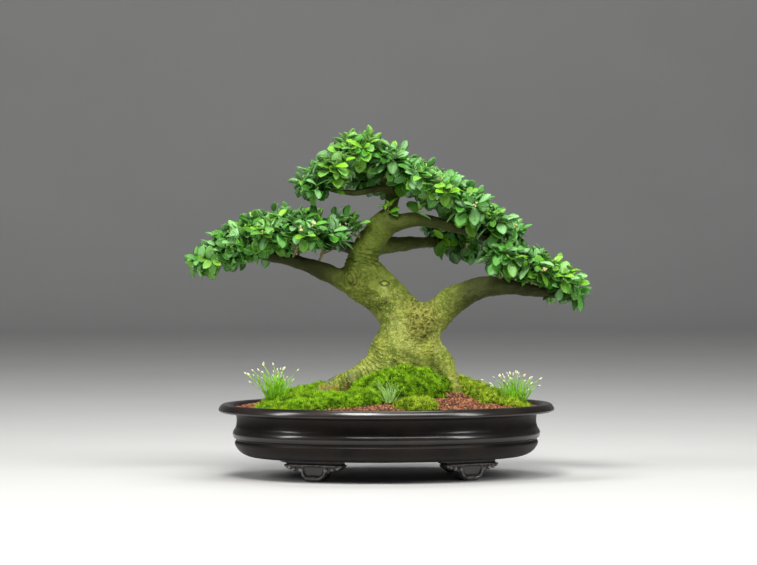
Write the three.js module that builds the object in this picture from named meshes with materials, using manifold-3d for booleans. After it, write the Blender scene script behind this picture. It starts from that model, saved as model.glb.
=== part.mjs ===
// Privet bonsai in an oval pot.
// Millimetres, +Z up, origin at the centre of the plane that the feet stand on, +X along the pot.
// The viewer stands on the -Y side.
import * as THREE from "three";
import { mergeVertices } from "three/addons/utils/BufferGeometryUtils.js";
import Module from "manifold-3d";

const wasm = await Module();
wasm.setup();
const { Manifold, Mesh } = wasm;

// Driving dimensions of the pot
const POT_LENGTH = 400;
const POT_DEPTH = 300;
const POT_HEIGHT = 87.5;
const FOOT_HEIGHT = 25;
const FLOOR_THICKNESS = 8;
const DRAIN_DIAMETER = 24;
const DRAIN_PITCH = 140;
const SCREEN_SIDE = 38;
const SCREEN_THICKNESS = 1.2;
const POT_SIDES = 36;

// Driving dimensions of the feet
const FOOT_X = 94;
const FOOT_Y = 68;
const FOOT_TURN = THREE.MathUtils.degToRad(25);
const FOOT_DEPTH = 18;
const RIDGE_HEIGHT = 20;
const RIDGE_OVERHANG = 2.5;
const PANEL_RECESS = 2;
const TONGUE_REACH = 17.5;
const SOLE_REACH = 8;
const WING_REACH = 36.5;

// Driving dimensions of the ground
const GAP = 0.35;
const SOIL_EDGE = 81.5;
const SOIL_CROWN = 22;
const ROOT_MOUND = { x: 35, y: 10, reachX: 58, reachY: 50, height: 22 };
const SOIL_LIP = 16;
const MOSS_EDGE = 0.965;
const MOSS_SUNK = 7;

// Driving dimensions of the foliage
const LEAF_LENGTH = 18;
const LEAF_WIDTH = 11.5;
const LEAF_THICKNESS = 1.6;
const LEAF_CUP = 0.16;
const LEAF_DROOP = 0.1;
const TWIG_RADIUS = 1.2;
const SHOOT_SPACING = 40.2;
const PAIR_SPACING = 5;
const SHOOT_STEP = 4;
const TREE_REACH = 242;

const UP = new THREE.Vector3(0, 0, 1);
const vector = (x, y, z) => new THREE.Vector3(x, y, z);

// Solids

// A closed geometry as a manifold solid with its faces pointing out.
function solid(geometry) {
  const bare = geometry.index ? geometry.toNonIndexed() : geometry.clone();
  for (const name of Object.keys(bare.attributes)) if (name !== "position") bare.deleteAttribute(name);
  const merged = mergeVertices(bare, 1e-4);
  const corners = merged.index.array;
  const kept = [];
  for (let i = 0; i < corners.length; i += 3) {
    const [a, b, c] = [corners[i], corners[i + 1], corners[i + 2]];
    if (a !== b && b !== c && c !== a) kept.push(a, b, c);
  }
  const build = (triVerts) =>
    new Manifold(
      new Mesh({ numProp: 3, vertProperties: new Float32Array(merged.attributes.position.array), triVerts }),
    );
  const made = build(new Uint32Array(kept));
  return made.volume() > 0 ? made : build(new Uint32Array(kept.reverse()));
}

// The largest body of a solid: loose scraps are dropped.
function largest(body) {
  const bodies = body.decompose();
  return bodies.reduce((best, next) => (next.volume() > best.volume() ? next : best));
}

// Moves every vertex of a geometry by a rule that gets and changes a vector.
function bend(geometry, rule) {
  const position = geometry.getAttribute("position");
  const point = new THREE.Vector3();
  for (let i = 0; i < position.count; i++) {
    rule(point.fromBufferAttribute(position, i));
    position.setXYZ(i, point.x, point.y, point.z);
  }
  return geometry;
}

// A round solid from a profile of [radius, height] pairs that starts and ends on the axis, upright on Z.
function turned(profile, sides) {
  const points = profile.map(([radius, height]) => new THREE.Vector2(radius, height));
  return new THREE.LatheGeometry(points, sides).rotateX(Math.PI / 2);
}

// Repeatable random numbers

function randomDraws(seed) {
  let state = seed >>> 0;
  return () => {
    state = (state + 0x6d2b79f5) >>> 0;
    let mixed = Math.imul(state ^ (state >>> 15), state | 1);
    mixed = (mixed + Math.imul(mixed ^ (mixed >>> 7), mixed | 61)) ^ mixed;
    return ((mixed ^ (mixed >>> 14)) >>> 0) / 4294967296;
  };
}

// Pot

// Turns a round section into the pot's oval, with walls of even thickness.
function oval(geometry) {
  const difference = (POT_LENGTH - POT_DEPTH) / 2;
  return bend(geometry, (p) => {
    const radius = Math.hypot(p.x, p.y);
    if (radius > 0) p.y *= Math.max(radius - difference, radius * 0.5) / radius;
  });
}

const RIM = POT_LENGTH / 2;
const FLOOR_TOP = FOOT_HEIGHT + FLOOR_THICKNESS;
const INNER_FLOOR_RADIUS = 158;
const INNER_WALL = [
  [INNER_FLOOR_RADIUS, FLOOR_TOP],
  [170, 43],
  [172, 68],
  [184, 78],
];

function potBody() {
  const outside = [
    [0, FOOT_HEIGHT],
    [INNER_FLOOR_RADIUS, FOOT_HEIGHT],
    [173, 29.5],
    [181.5, 40],
    [179.8, 48.8],
    [183, 52],
    [182.5, 59],
    [178.8, 62],
    [179, 73],
    [184, 77.2],
    [197, 77.5],
    [RIM, 82],
    [198, 86.5],
    [191, POT_HEIGHT],
    [186, 84.5],
  ];
  const inside = INNER_WALL.slice().reverse();
  return solid(oval(turned([...outside, ...inside, [0, FLOOR_TOP]], POT_SIDES)));
}

// One bracket foot: a tongue between two wings that end in scrolls, seen from the front as x, z.
function footOutline() {
  const outline = new THREE.Shape();
  outline.moveTo(0, RIDGE_HEIGHT);
  outline.lineTo(-WING_REACH, RIDGE_HEIGHT);
  outline.quadraticCurveTo(2 - WING_REACH, 15, 6 - WING_REACH, 15);
  outline.quadraticCurveTo(10 - WING_REACH, 10.5, 14 - WING_REACH, 13.5);
  outline.quadraticCurveTo(-TONGUE_REACH - 2.5, 9.5, -TONGUE_REACH, 12);
  outline.quadraticCurveTo(-TONGUE_REACH + 2, 1, -SOLE_REACH, 0);
  outline.lineTo(SOLE_REACH, 0);
  outline.quadraticCurveTo(TONGUE_REACH - 2, 1, TONGUE_REACH, 12);
  outline.quadraticCurveTo(TONGUE_REACH + 2.5, 9.5, WING_REACH - 14, 13.5);
  outline.quadraticCurveTo(WING_REACH - 10, 10.5, WING_REACH - 6, 15);
  outline.quadraticCurveTo(WING_REACH - 2, 15, WING_REACH, RIDGE_HEIGHT);
  return outline;
}

function panelOutline() {
  const half = TONGUE_REACH - 5.5;
  const panel = new THREE.Shape();
  panel.moveTo(-half, RIDGE_HEIGHT - 2);
  panel.lineTo(-half, 9);
  panel.quadraticCurveTo(0, -1, half, 9);
  panel.lineTo(half, RIDGE_HEIGHT - 2);
  return panel;
}

// Extrudes an x, z outline towards +Y, from y = start.
function upright(outline, start, depth, curveSegments) {
  const made = new THREE.ExtrudeGeometry(outline, { depth, bevelEnabled: false, curveSegments, steps: 1 });
  return made.rotateX(Math.PI / 2).translate(0, start + depth, 0);
}

const block = (width, depth, height, x, y, z) =>
  solid(new THREE.BoxGeometry(width, depth, height).translate(x, y, z));

function foot(turn, x, y) {
  const bracket = solid(upright(footOutline(), 0, FOOT_DEPTH, 2));
  const panel = solid(upright(panelOutline(), -1, PANEL_RECESS + 1, 3));
  const neck = {
    width: 2 * (WING_REACH - RIDGE_OVERHANG),
    depth: FOOT_DEPTH - RIDGE_OVERHANG,
    height: FOOT_HEIGHT + 1 - (RIDGE_HEIGHT - 1),
  };
  const [y0, z0] = [RIDGE_OVERHANG + neck.depth / 2, RIDGE_HEIGHT - 1 + neck.height / 2];
  return bracket
    .subtract(panel)
    .add(block(neck.width, neck.depth, neck.height, 0, y0, z0))
    .rotate([0, 0, THREE.MathUtils.radToDeg(turn)])
    .translate([x, y, 0]);
}

function pot() {
  const feet = [
    foot(-FOOT_TURN, -FOOT_X, -FOOT_Y),
    foot(FOOT_TURN, FOOT_X, -FOOT_Y),
    foot(Math.PI - FOOT_TURN, FOOT_X, FOOT_Y),
    foot(Math.PI + FOOT_TURN, -FOOT_X, FOOT_Y),
  ];
  const drains = [-1, 1].map((side) =>
    solid(
      new THREE.CylinderGeometry(DRAIN_DIAMETER / 2, DRAIN_DIAMETER / 2, 20, 20)
        .rotateX(Math.PI / 2)
        .translate((side * DRAIN_PITCH) / 2, 0, FOOT_HEIGHT + FLOOR_THICKNESS / 2),
    ),
  );
  return Manifold.union([potBody(), ...feet]).subtract(Manifold.union(drains));
}

// A square plate of plastic mesh that lies over a drainage hole.
function screen(side) {
  const holes = 2;
  const bar = 4;
  const pitch = (SCREEN_SIDE - bar) / holes;
  const [x, z] = [(side * DRAIN_PITCH) / 2, FLOOR_TOP + GAP + SCREEN_THICKNESS / 2];
  const cuts = [];
  for (let i = 0; i < holes; i++)
    for (let j = 0; j < holes; j++) {
      const [across, along] = [(i - 0.5) * pitch, (j - 0.5) * pitch];
      cuts.push(block(pitch - bar, pitch - bar, 2 * SCREEN_THICKNESS, x + across, along, z));
    }
  return block(SCREEN_SIDE, SCREEN_SIDE, SCREEN_THICKNESS, x, 0, z).subtract(Manifold.union(cuts));
}

// Wood

// Routes of the wood, from the thick end outwards: x, y, z and radius of each point.
const WOOD = {
  trunk: [
    [24, 4, 96, 40],
    [26, 3, 124, 42],
    [29, 2, 148, 35.8],
    [29.8, 2, 166, 32.4],
    [20.2, 2, 187, 28.4],
    [5.2, 2, 207, 23.8],
    [-14.6, 1, 225.4, 23.6],
    [-30, -1, 248, 21],
    [-25, -3, 269, 16.4],
    [-13, -6, 289, 15],
    [-1, -8, 307, 10.5],
  ],
  left_root: [
    [10, -1, 148, 28],
    [-10, -7, 129.5, 19],
    [-33, -13, 118.4, 15.4],
    [-55, -18, 109.2, 13],
    [-77, -24, 100.4, 10.8],
    [-100, -28, 91.2, 8],
    [-120, -31, 84, 5],
  ],
  right_root: [
    [44, -4, 155, 22],
    [62, -13, 137, 15.6],
    [70, -19, 120, 13],
    [75, -26, 104, 11.8],
    [82, -33, 88, 9.4],
    [92, -38, 74, 6],
  ],
  back_root: [
    [14, 16, 142, 24],
    [2, 42, 122, 15],
    [-10, 66, 106, 10],
    [-20, 86, 90, 6],
  ],
  back_right_root: [
    [44, 14, 140, 22],
    [62, 38, 120, 13],
    [78, 58, 104, 9],
    [92, 74, 88, 5.5],
  ],
  left_branch: [
    [-30, 1, 226, 17],
    [-58, 0, 237, 11.5],
    [-79, -2, 246, 9.7],
    [-105, -4, 255, 7.9],
    [-145, -4, 264, 6.1],
    [-185, -3, 268, 4.4],
    [-222, -1, 261, 2.2],
  ],
  left_back_branch: [
    [-27, 4, 266, 9],
    [-48, 23, 273, 6.6],
    [-70, 42, 276, 5.4],
    [-93, 58, 279, 4.4],
    [-116, 70, 283, 2.8],
  ],
  right_branch: [
    [34, 0, 170, 26],
    [59, -6, 193, 19],
    [76, -12, 208, 16],
    [93, -17, 218, 14.4],
    [114, -20, 226, 12.6],
    [146, -22, 225, 9],
    [184, -19, 219, 5.8],
    [218, -12, 213, 2.6],
  ],
  upper_right_branch: [
    [-7, -7, 298, 12],
    [14, -12, 303, 9.5],
    [40, -16, 305, 7.6],
    [76, -18, 297, 6.1],
    [112, -16, 285, 4.6],
    [144, -14, 274, 2.6],
  ],
  back_right_branch: [
    [-18, 0, 272, 11],
    [9, 15, 275, 9.5],
    [34, 33, 277, 7.7],
    [60, 50, 278, 6],
    [86, 63, 274, 4.8],
    [107, 72, 268, 3],
  ],
  leader: [
    [-3, -7, 302, 9.5],
    [4, -6, 318, 6.4],
    [6, -4, 331, 5.5],
    [2, -2, 345, 5],
    [-6, 1, 358, 4.3],
    [-17, 4, 369, 3.4],
    [-29, 6, 379, 2.4],
  ],
  crown_left_branch: [
    [3, -3, 342, 4.8],
    [-17, -6, 341, 4],
    [-39, -9, 337, 3.6],
    [-61, -10, 340, 3.1],
    [-82, -8, 345, 2.3],
  ],
  crown_right_branch: [
    [5, -4, 330, 5],
    [22, -2, 342, 4.2],
    [43, -1, 341, 3.7],
    [66, -1, 331, 3.2],
    [90, -1, 317, 2.4],
  ],
  back_branch: [
    [5, -4, 326, 6],
    [6, 12, 338, 5.4],
    [3, 32, 347, 4.8],
    [-1, 54, 352, 4.2],
    [-6, 80, 352, 3],
  ],
};

const LIMB_SIDES = { trunk: 14, left_root: 8, right_root: 8, left_branch: 8, right_branch: 10 };
const BURL = { x: 38, y: -21, z: 188, radii: [19, 14, 24], lean: 12 };

const route = (rows) =>
  new THREE.CatmullRomCurve3(
    rows.map(([x, y, z]) => vector(x, y, z)),
    false,
    "catmullrom",
    0.5,
  );

// The radius along a route, straight between its points.
function radiusAt(rows, share) {
  const place = share * (rows.length - 1);
  const index = Math.min(Math.floor(place), rows.length - 2);
  return THREE.MathUtils.lerp(rows[index][3], rows[index + 1][3], place - index);
}

// A tapering solid of round section along a route: a turned profile bent onto the curve.
function limb(rows, sides, grow = 0) {
  const curve = route(rows);
  const steps = rows.length - 1;
  const frames = [];
  let across = vector(0, 1, 0);
  for (let i = 0; i <= steps; i++) {
    const along = curve.getTangent(i / steps);
    across = across.clone().addScaledVector(along, -across.dot(along)).normalize();
    frames.push({ centre: curve.getPoint(i / steps), across, side: along.clone().cross(across) });
  }
  const profile = frames.map((_, i) => [radiusAt(rows, i / steps) + grow, i]);
  const bar = turned([[0, 0], ...profile, [0, steps]], sides);
  return solid(
    bend(bar, (p) => {
      const { centre, across: first, side: second } = frames[Math.round(p.z)];
      const [a, b] = [p.x, p.y];
      p.copy(centre).addScaledVector(first, a).addScaledVector(second, b);
    }),
  );
}

function burl(grow = 0) {
  const knob = new THREE.IcosahedronGeometry(1, 1)
    .scale(...BURL.radii.map((radius) => radius + grow))
    .rotateY(THREE.MathUtils.degToRad(BURL.lean))
    .translate(BURL.x, BURL.y, BURL.z);
  return solid(knob);
}

function wood(grow = 0) {
  const limbs = Object.entries(WOOD).map(([name, rows]) => limb(rows, LIMB_SIDES[name] ?? 6, grow));
  return Manifold.union([...limbs, burl(grow)]);
}

// Ground

// How far out a place lies in the soil's oval: 1 is its edge, inside the lip.
function soilShare(x, y) {
  return Math.hypot(x / (RIM - SOIL_LIP), y / (POT_DEPTH / 2 - SOIL_LIP));
}

// Height of the soil at a place in the pot.
function soilHeight(x, y) {
  const share = Math.min(1, soilShare(x, y));
  const dome = SOIL_CROWN * Math.pow(1 - share * share, 1.3);
  const mound = ROOT_MOUND;
  const reach = ((x - mound.x) / mound.reachX) ** 2 + ((y - mound.y) / mound.reachY) ** 2;
  return SOIL_EDGE + dome + mound.height * Math.exp(-reach);
}

// Soil that fills the pot's hollow and rises under the tree.
function soil(woodSpace, screenSpaces) {
  const wall = INNER_WALL.map(([radius, height]) => [radius - GAP * 1.6, height + GAP]);
  const edge = wall[wall.length - 1][0] + 0.4;
  const rings = 5;
  const top = [];
  for (let i = 0; i < rings; i++) top.push([edge * (1 - i / rings), 200]);
  const filling = oval(turned([[0, FLOOR_TOP + GAP], ...wall, ...top, [0, 200]], POT_SIDES));
  bend(filling, (p) => {
    if (p.z > 199) p.z = soilHeight(p.x, p.y);
  });
  return largest(solid(filling).subtract(Manifold.union([woodSpace, ...screenSpaces])));
}

// Moss cushions, each of one or more lumps: centre, half sizes, turn in degrees, height over the soil.
const MOSS = {
  moss_mound: [
    { x: -104, y: -57, half: [60, 43], turn: -12, height: 9 },
    { x: -46, y: -74, half: [44, 24], turn: 10, height: 10 },
    { x: 12, y: -51, half: [57, 27], turn: 5, height: 25 },
  ],
  moss_front: [{ x: 24, y: -99, half: [26, 17], turn: 2, height: 9 }],
  moss_right: [
    { x: 108, y: -4, half: [31, 55], turn: 12, height: 12 },
    { x: 140, y: -32, half: [30, 24], turn: 25, height: 7 },
  ],
  moss_back_left: [{ x: -72, y: 42, half: [66, 44], turn: 8, height: 11 }],
  moss_back: [{ x: 40, y: 88, half: [68, 30], turn: -6, height: 10 }],
};

// The oval over the soil that moss can cover, short of the pot's wall.
function plantingArea() {
  const reach = (RIM - SOIL_LIP) * MOSS_EDGE;
  const [low, high] = [FLOOR_TOP, 2 * POT_HEIGHT];
  return solid(oval(turned([[0, low], [reach, low], [reach, high], [0, high]], POT_SIDES)));
}

// A low lumpy dome that follows the soil.
function lump({ x, y, half, turn, height }) {
  const angle = THREE.MathUtils.degToRad(turn);
  const [c, s] = [Math.cos(angle), Math.sin(angle)];
  const ball = new THREE.SphereGeometry(1, 13, 6).rotateX(Math.PI / 2);
  bend(ball, (p) => {
    const around = Math.atan2(p.y, p.x);
    const edge = 1 + 0.09 * Math.sin(3 * around + x) + 0.06 * Math.sin(7 * around + y);
    const [a, b] = [p.x * half[0] * edge, p.y * half[1] * edge];
    const [px, py] = [x + a * c - b * s, y + a * s + b * c];
    const swell = 1 + 0.13 * Math.sin(px / 6.1 + py / 11) * Math.cos(py / 5.3 - px / 13);
    p.set(px, py, soilHeight(px, py) + (p.z > 0 ? height * p.z * swell : MOSS_SUNK * p.z));
  });
  return solid(ball);
}

// A cushion of lumps that ends short of the pot's wall and clear of what stands in it.
function cushion(lumps, spaces) {
  const whole = Manifold.union(lumps.map(lump)).intersect(plantingArea());
  return largest(whole.subtract(Manifold.union(spaces)));
}

// Grass

// Tufts: foot, number of stems, their height and spread, whether they carry seed heads.
const GRASS = {
  grass_left: { x: -135, y: -34, stems: 13, height: 43, spread: 35, heads: true, seed: 11 },
  grass_right: { x: 149, y: -26, stems: 13, height: 32, spread: 36, heads: true, seed: 12 },
  grass_centre: { x: -8, y: -92, stems: 7, height: 19, spread: 12, heads: false, seed: 13 },
};
const CROWN_RADIUS = 5;
const CROWN_DEPTH = 6;
const STEM_RADIUS = 0.8;
const HEAD_RADIUS = 1.4;
const HEAD_LENGTH = 7;
const GOLDEN_ANGLE = Math.PI * (3 - Math.sqrt(5));

function tuftCrown({ x, y }, grow = 0) {
  const base = soilHeight(x, y);
  const plug = new THREE.CylinderGeometry(CROWN_RADIUS + grow, CROWN_RADIUS - 1 + grow, 14 + grow, 9);
  return solid(plug.rotateX(Math.PI / 2).translate(x, y, base + 7 - CROWN_DEPTH - grow / 2));
}

// The space that a tuft's stems fan out through, just over the soil.
function tuftSpace({ x, y }) {
  const [flare, height] = [CROWN_RADIUS * 3.6, 16];
  const cone = new THREE.CylinderGeometry(flare, CROWN_RADIUS + GAP, height, 9);
  return solid(cone.rotateX(Math.PI / 2).translate(x, y, soilHeight(x, y) + height / 2));
}

function tuft(rule) {
  const draw = randomDraws(rule.seed);
  const base = soilHeight(rule.x, rule.y) + 5;
  const clump = CROWN_RADIUS * 0.56;
  const pieces = [tuftCrown(rule)];
  for (let i = 0; i < rule.stems; i++) {
    const around = i * GOLDEN_ANGLE + draw() * 0.6;
    const out = Math.sqrt((i + 0.5) / rule.stems);
    const lean = out * rule.spread;
    const height = rule.height * (1 - 0.35 * out * draw());
    const [across, along] = [Math.cos(around), Math.sin(around)];
    const root = vector(rule.x + clump * out * across, rule.y + clump * out * along, base);
    const tip = vector(rule.x + lean * across, rule.y + 0.7 * lean * along, base + height);
    pieces.push(stem(root, tip, rule.heads));
  }
  return largest(Manifold.union(pieces));
}

// A three-sided stem, with a pointed seed head at its end where the grass is in seed.
function stem(root, tip, headed) {
  const length = root.distanceTo(tip);
  const neck = headed ? length - HEAD_LENGTH : length * 0.6;
  const profile = [
    [0, 0],
    [STEM_RADIUS, 0],
    [STEM_RADIUS * 0.8, neck],
  ];
  if (headed) profile.push([HEAD_RADIUS, length - HEAD_LENGTH * 0.5]);
  profile.push([0, length]);
  return aimed(turned(profile, 3), root, tip);
}

// A geometry that stands on the origin along +Z, moved to start at one point and aim at another.
// Its +X side turns towards a given direction.
function aimed(geometry, from, to, side = vector(1, 0.3, 0.2)) {
  const along = to.clone().sub(from).normalize();
  const across = side.clone().addScaledVector(along, -side.dot(along)).normalize();
  const place = new THREE.Matrix4().makeBasis(across, along.clone().cross(across), along).setPosition(from);
  return solid(geometry.applyMatrix4(place));
}

// Foliage

// Pads of foliage: the limb that carries each, its centre, half sizes, slope in degrees and number of sprays.
const PAD_RULES = {
  left_tip: { limb: "left_branch", at: [-213, -3, 261], half: [18, 20, 11], slope: 22, sprays: 1 },
  left_outer: { limb: "left_branch", at: [-179, -4, 277], half: [28, 33, 17], slope: 20, sprays: 2 },
  left_middle: { limb: "left_branch", at: [-141, -6, 291], half: [29, 44, 21], slope: 12, sprays: 3 },
  left_inner: { limb: "left_branch", at: [-103, -10, 291], half: [26, 46, 18], slope: -4, sprays: 2 },
  left_heel: { limb: "left_branch", at: [-70, -8, 288], half: [18, 34, 12], slope: -12, sprays: 1 },
  left_back: { limb: "left_back_branch", at: [-104, 62, 294], half: [34, 32, 15], slope: 4, sprays: 2 },
  crown_left: { limb: "crown_left_branch", at: [-88, -6, 349], half: [17, 34, 16], slope: 20, sprays: 2 },
  crown_high: { limb: "crown_left_branch", at: [-63, -2, 368], half: [24, 46, 14], slope: 30, sprays: 2 },
  apex: { limb: "leader", at: [-35, 2, 389], half: [26, 46, 17], slope: 8, sprays: 3 },
  crown_top: { limb: "leader", at: [0, 0, 378], half: [24, 50, 16], slope: -18, sprays: 2 },
  crown_right: { limb: "crown_right_branch", at: [31, -4, 358], half: [24, 54, 17], slope: -28, sprays: 3 },
  shoulder: { limb: "crown_right_branch", at: [62, -6, 342], half: [25, 56, 17], slope: -26, sprays: 3 },
  shoulder_low: { limb: "upper_right_branch", at: [92, -8, 324], half: [25, 52, 19], slope: -28, sprays: 3 },
  right_upper: { limb: "upper_right_branch", at: [122, -8, 304], half: [21, 42, 14], slope: -20, sprays: 2 },
  right_spur: { limb: "upper_right_branch", at: [147, -8, 294], half: [11, 22, 8], slope: -10, sprays: 1 },
  right_inner: { limb: "right_branch", at: [140, -12, 264], half: [23, 42, 14], slope: -20, sprays: 2 },
  right_middle: { limb: "right_branch", at: [174, -12, 252], half: [22, 40, 13], slope: -24, sprays: 2 },
  right_outer: { limb: "right_branch", at: [204, -10, 237], half: [19, 32, 12], slope: -30, sprays: 2 },
  right_tip: { limb: "right_branch", at: [228, -8, 224], half: [10, 18, 11], slope: -35, sprays: 1 },
  back_right: { limb: "back_right_branch", at: [92, 70, 286], half: [34, 32, 16], slope: -10, sprays: 2 },
  back_middle: { limb: "back_branch", at: [-4, 74, 361], half: [36, 28, 15], slope: -4, sprays: 2 },
};
const PADS = Object.entries(PAD_RULES).map(([name, rule]) => ({ name, ...rule }));

const PAD_UNDERSIDE = -0.42;

function padFrame(pad) {
  const slope = THREE.MathUtils.degToRad(pad.slope);
  return new THREE.Quaternion().setFromAxisAngle(vector(0, 1, 0), -slope);
}

// How deep a point lies in a pad: under 1 is inside.
function padDepth(pad, point) {
  const local = point.clone().sub(vector(...pad.at)).applyQuaternion(padFrame(pad).invert());
  return Math.hypot(local.x / pad.half[0], local.y / pad.half[1], local.z / pad.half[2]);
}

// Shoot tips spread evenly over a pad's top and sides, left out where another pad covers them.
function shootTips(pad, spacing) {
  const [a, b, c] = pad.half;
  const area = (4 * Math.PI * ((a * b) ** 1.6 / 3 + (a * c) ** 1.6 / 3 + (b * c) ** 1.6 / 3) ** 0.625) / 1.5;
  const count = Math.max(3, Math.round(area / spacing ** 2));
  const frame = padFrame(pad);
  const tips = [];
  for (let i = 0; i < count; i++) {
    const rise = 1 - ((i + 0.5) / count) * (1 - PAD_UNDERSIDE);
    const flat = Math.sqrt(1 - rise * rise);
    const around = i * GOLDEN_ANGLE + pad.at[0];
    const ball = vector(flat * Math.cos(around), flat * Math.sin(around), rise);
    const point = vector(a * ball.x, b * ball.y, c * ball.z).applyQuaternion(frame).add(vector(...pad.at));
    const outward = vector(ball.x / a, ball.y / b, ball.z / c).normalize().applyQuaternion(frame);
    const covered = PADS.some((other) => other !== pad && padDepth(other, point) < 0.82);
    if (covered) continue;
    const axis = outward.multiplyScalar(0.8).addScaledVector(UP, 0.45).normalize();
    const side = vector(1, 0, 0).cross(axis).normalize().applyAxisAngle(axis, around);
    tips.push({ point, axis, side });
  }
  return tips;
}

// The tips of a pad shared out to its sprays by their direction round the pad.
function spraysOf(pad, spacing) {
  const groups = Array.from({ length: pad.sprays }, () => []);
  for (const tip of shootTips(pad, spacing)) {
    const turn = Math.atan2(tip.point.y - pad.at[1], tip.point.x - pad.at[0]) / (2 * Math.PI) + 0.5 + 0.12;
    groups[Math.floor((turn % 1) * pad.sprays) % pad.sprays].push(tip);
  }
  return groups.filter((group) => group.length);
}

// The point of a limb that lies nearest to a target, moved outwards along the limb by a share of its length.
function nearestOn(name, target, shift) {
  const curve = route(WOOD[name]);
  let best = null;
  for (let i = 10; i <= 48; i++) {
    const share = Math.min(0.98, i / 50 + shift);
    const point = curve.getPoint(share);
    const distance = point.distanceTo(target);
    if (!best || distance < best.distance) best = { point, distance };
  }
  return best.point;
}

const middle = (points) =>
  points.reduce((sum, point) => sum.add(point), vector(0, 0, 0)).divideScalar(points.length);

// Twigs of a spray: a stem from the limb through a hub inside the pad to the first tip, and a shoot off it
// for each other tip. Each is a list of points from the thick end outwards.
function sprayTwigs(pad, tips, number, attempt) {
  const draw = randomDraws(number * 97 + attempt * 7919 + 5);
  const shake = () => (draw() - 0.5) * 5 * attempt;
  const hub = middle(tips.map((tip) => tip.point))
    .lerp(vector(...pad.at), 0.35)
    .add(vector(shake(), shake(), shake() - pad.half[2] * 0.7));
  const foot = nearestOn(pad.limb, hub, (attempt * 0.03) % 0.2);
  const share = Math.min(SHOOT_STEP / foot.distanceTo(hub), 0.7 / tips.length);
  return tips.map(({ point, side }, index) => {
    const start = hub.clone().lerp(foot, index * share);
    return { points: index === 0 ? [foot, hub, point] : [start, point], side, start };
  });
}

// A tapering four-sided twig along its points, with the middle of one face towards a side at its end.
function twig({ points, side }, grow = 0) {
  const last = points.length - 1;
  const tips = points.map((point, index) => {
    const from = points[Math.max(0, index - 1)];
    const along = points[Math.min(last, index + 1)].clone().sub(from).normalize();
    const across = side.clone().addScaledVector(along, -side.dot(along)).normalize();
    return { point, across, other: along.clone().cross(across) };
  });
  const thickness = [TWIG_RADIUS * 1.6, TWIG_RADIUS * 1.25, TWIG_RADIUS].slice(-points.length);
  const profile = thickness.map((radius, index) => [radius + grow, index]);
  const bar = turned([[0, 0], ...profile, [0, last]], 4).rotateZ(Math.PI / 4);
  return solid(
    bend(bar, (p) => {
      const { point, across, other } = tips[Math.round(p.z)];
      const [a, b] = [p.x, p.y];
      p.copy(point).addScaledVector(across, a).addScaledVector(other, b);
    }),
  );
}

// One leaf blade with its base at the origin, along +X, its upper side to +Z.
// It is thickest at the middle of its midrib, where it is also lowest, so that the blade is cupped.
function leafBlade(length, width, extra = 0) {
  const margin = [
    [0, 0],
    [0.26, -0.3],
    [0.6, -0.5],
    [0.88, -0.31],
    [1, 0],
    [0.88, 0.31],
    [0.6, 0.5],
    [0.26, 0.3],
  ];
  const half = LEAF_THICKNESS / 2 + extra;
  const droop = length * LEAF_DROOP;
  const rim = margin.map(([along, across]) => {
    const spread = 1 + (2 * extra) / width;
    const rise = Math.abs(across) * width * LEAF_CUP - droop * along * along;
    return [along * length * spread, across * width * spread, rise];
  });
  const position = [];
  for (const side of [1, -1])
    rim.forEach((point, index) => {
      const next = rim[(index + 1) % rim.length];
      const centre = [0.5 * length, 0, -0.25 * droop + side * half];
      position.push(...centre, ...(side > 0 ? [...point, ...next] : [...next, ...point]));
    });
  return new THREE.BufferGeometry().setAttribute("position", new THREE.Float32BufferAttribute(position, 3));
}

// The leaves of one shoot, in opposite pairs that turn by a quarter from one to the next.
function shootLeaves(tip, start, pairs, seed) {
  const draw = randomDraws(seed);
  const axis = tip.point.clone().sub(start).normalize();
  const side = tip.side.clone().addScaledVector(axis, -tip.side.dot(axis)).normalize();
  const leaves = [];
  for (let pair = 0; pair < pairs; pair++)
    for (const half of [0, Math.PI]) {
      const around = half + (pair * Math.PI) / 2 + (draw() - 0.5) * 0.3;
      const open = THREE.MathUtils.degToRad(pair === 0 ? 48 + 18 * draw() : 70 + 22 * draw());
      const size = (pair === 0 ? 0.72 : 0.92) + 0.22 * draw();
      const radial = side.clone().applyAxisAngle(axis, around);
      const along = axis.clone().multiplyScalar(Math.cos(open)).addScaledVector(radial, Math.sin(open));
      const face = axis.clone().addScaledVector(along, -axis.dot(along)).normalize();
      const back = -pair * PAIR_SPACING - 1;
      const root = tip.point.clone().addScaledVector(axis, back).addScaledVector(radial, 0.2);
      leaves.push({ root, along, face, size });
    }
  return leaves;
}

function leafSolid({ root, along, face, size }, extra = 0) {
  const blade = leafBlade(LEAF_LENGTH * size, LEAF_WIDTH * size, extra);
  const place = new THREE.Matrix4().makeBasis(along, face.clone().cross(along), face).setPosition(root);
  return solid(blade.applyMatrix4(place));
}

const boxOf = (body) => {
  const { min, max } = body.boundingBox();
  return new THREE.Box3(vector(...min), vector(...max));
};
const meets = (body, others) => {
  const box = boxOf(body);
  return others.some((other) => other.box.intersectsBox(box) && body.intersect(other.body).volume() > 1e-3);
};

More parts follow.
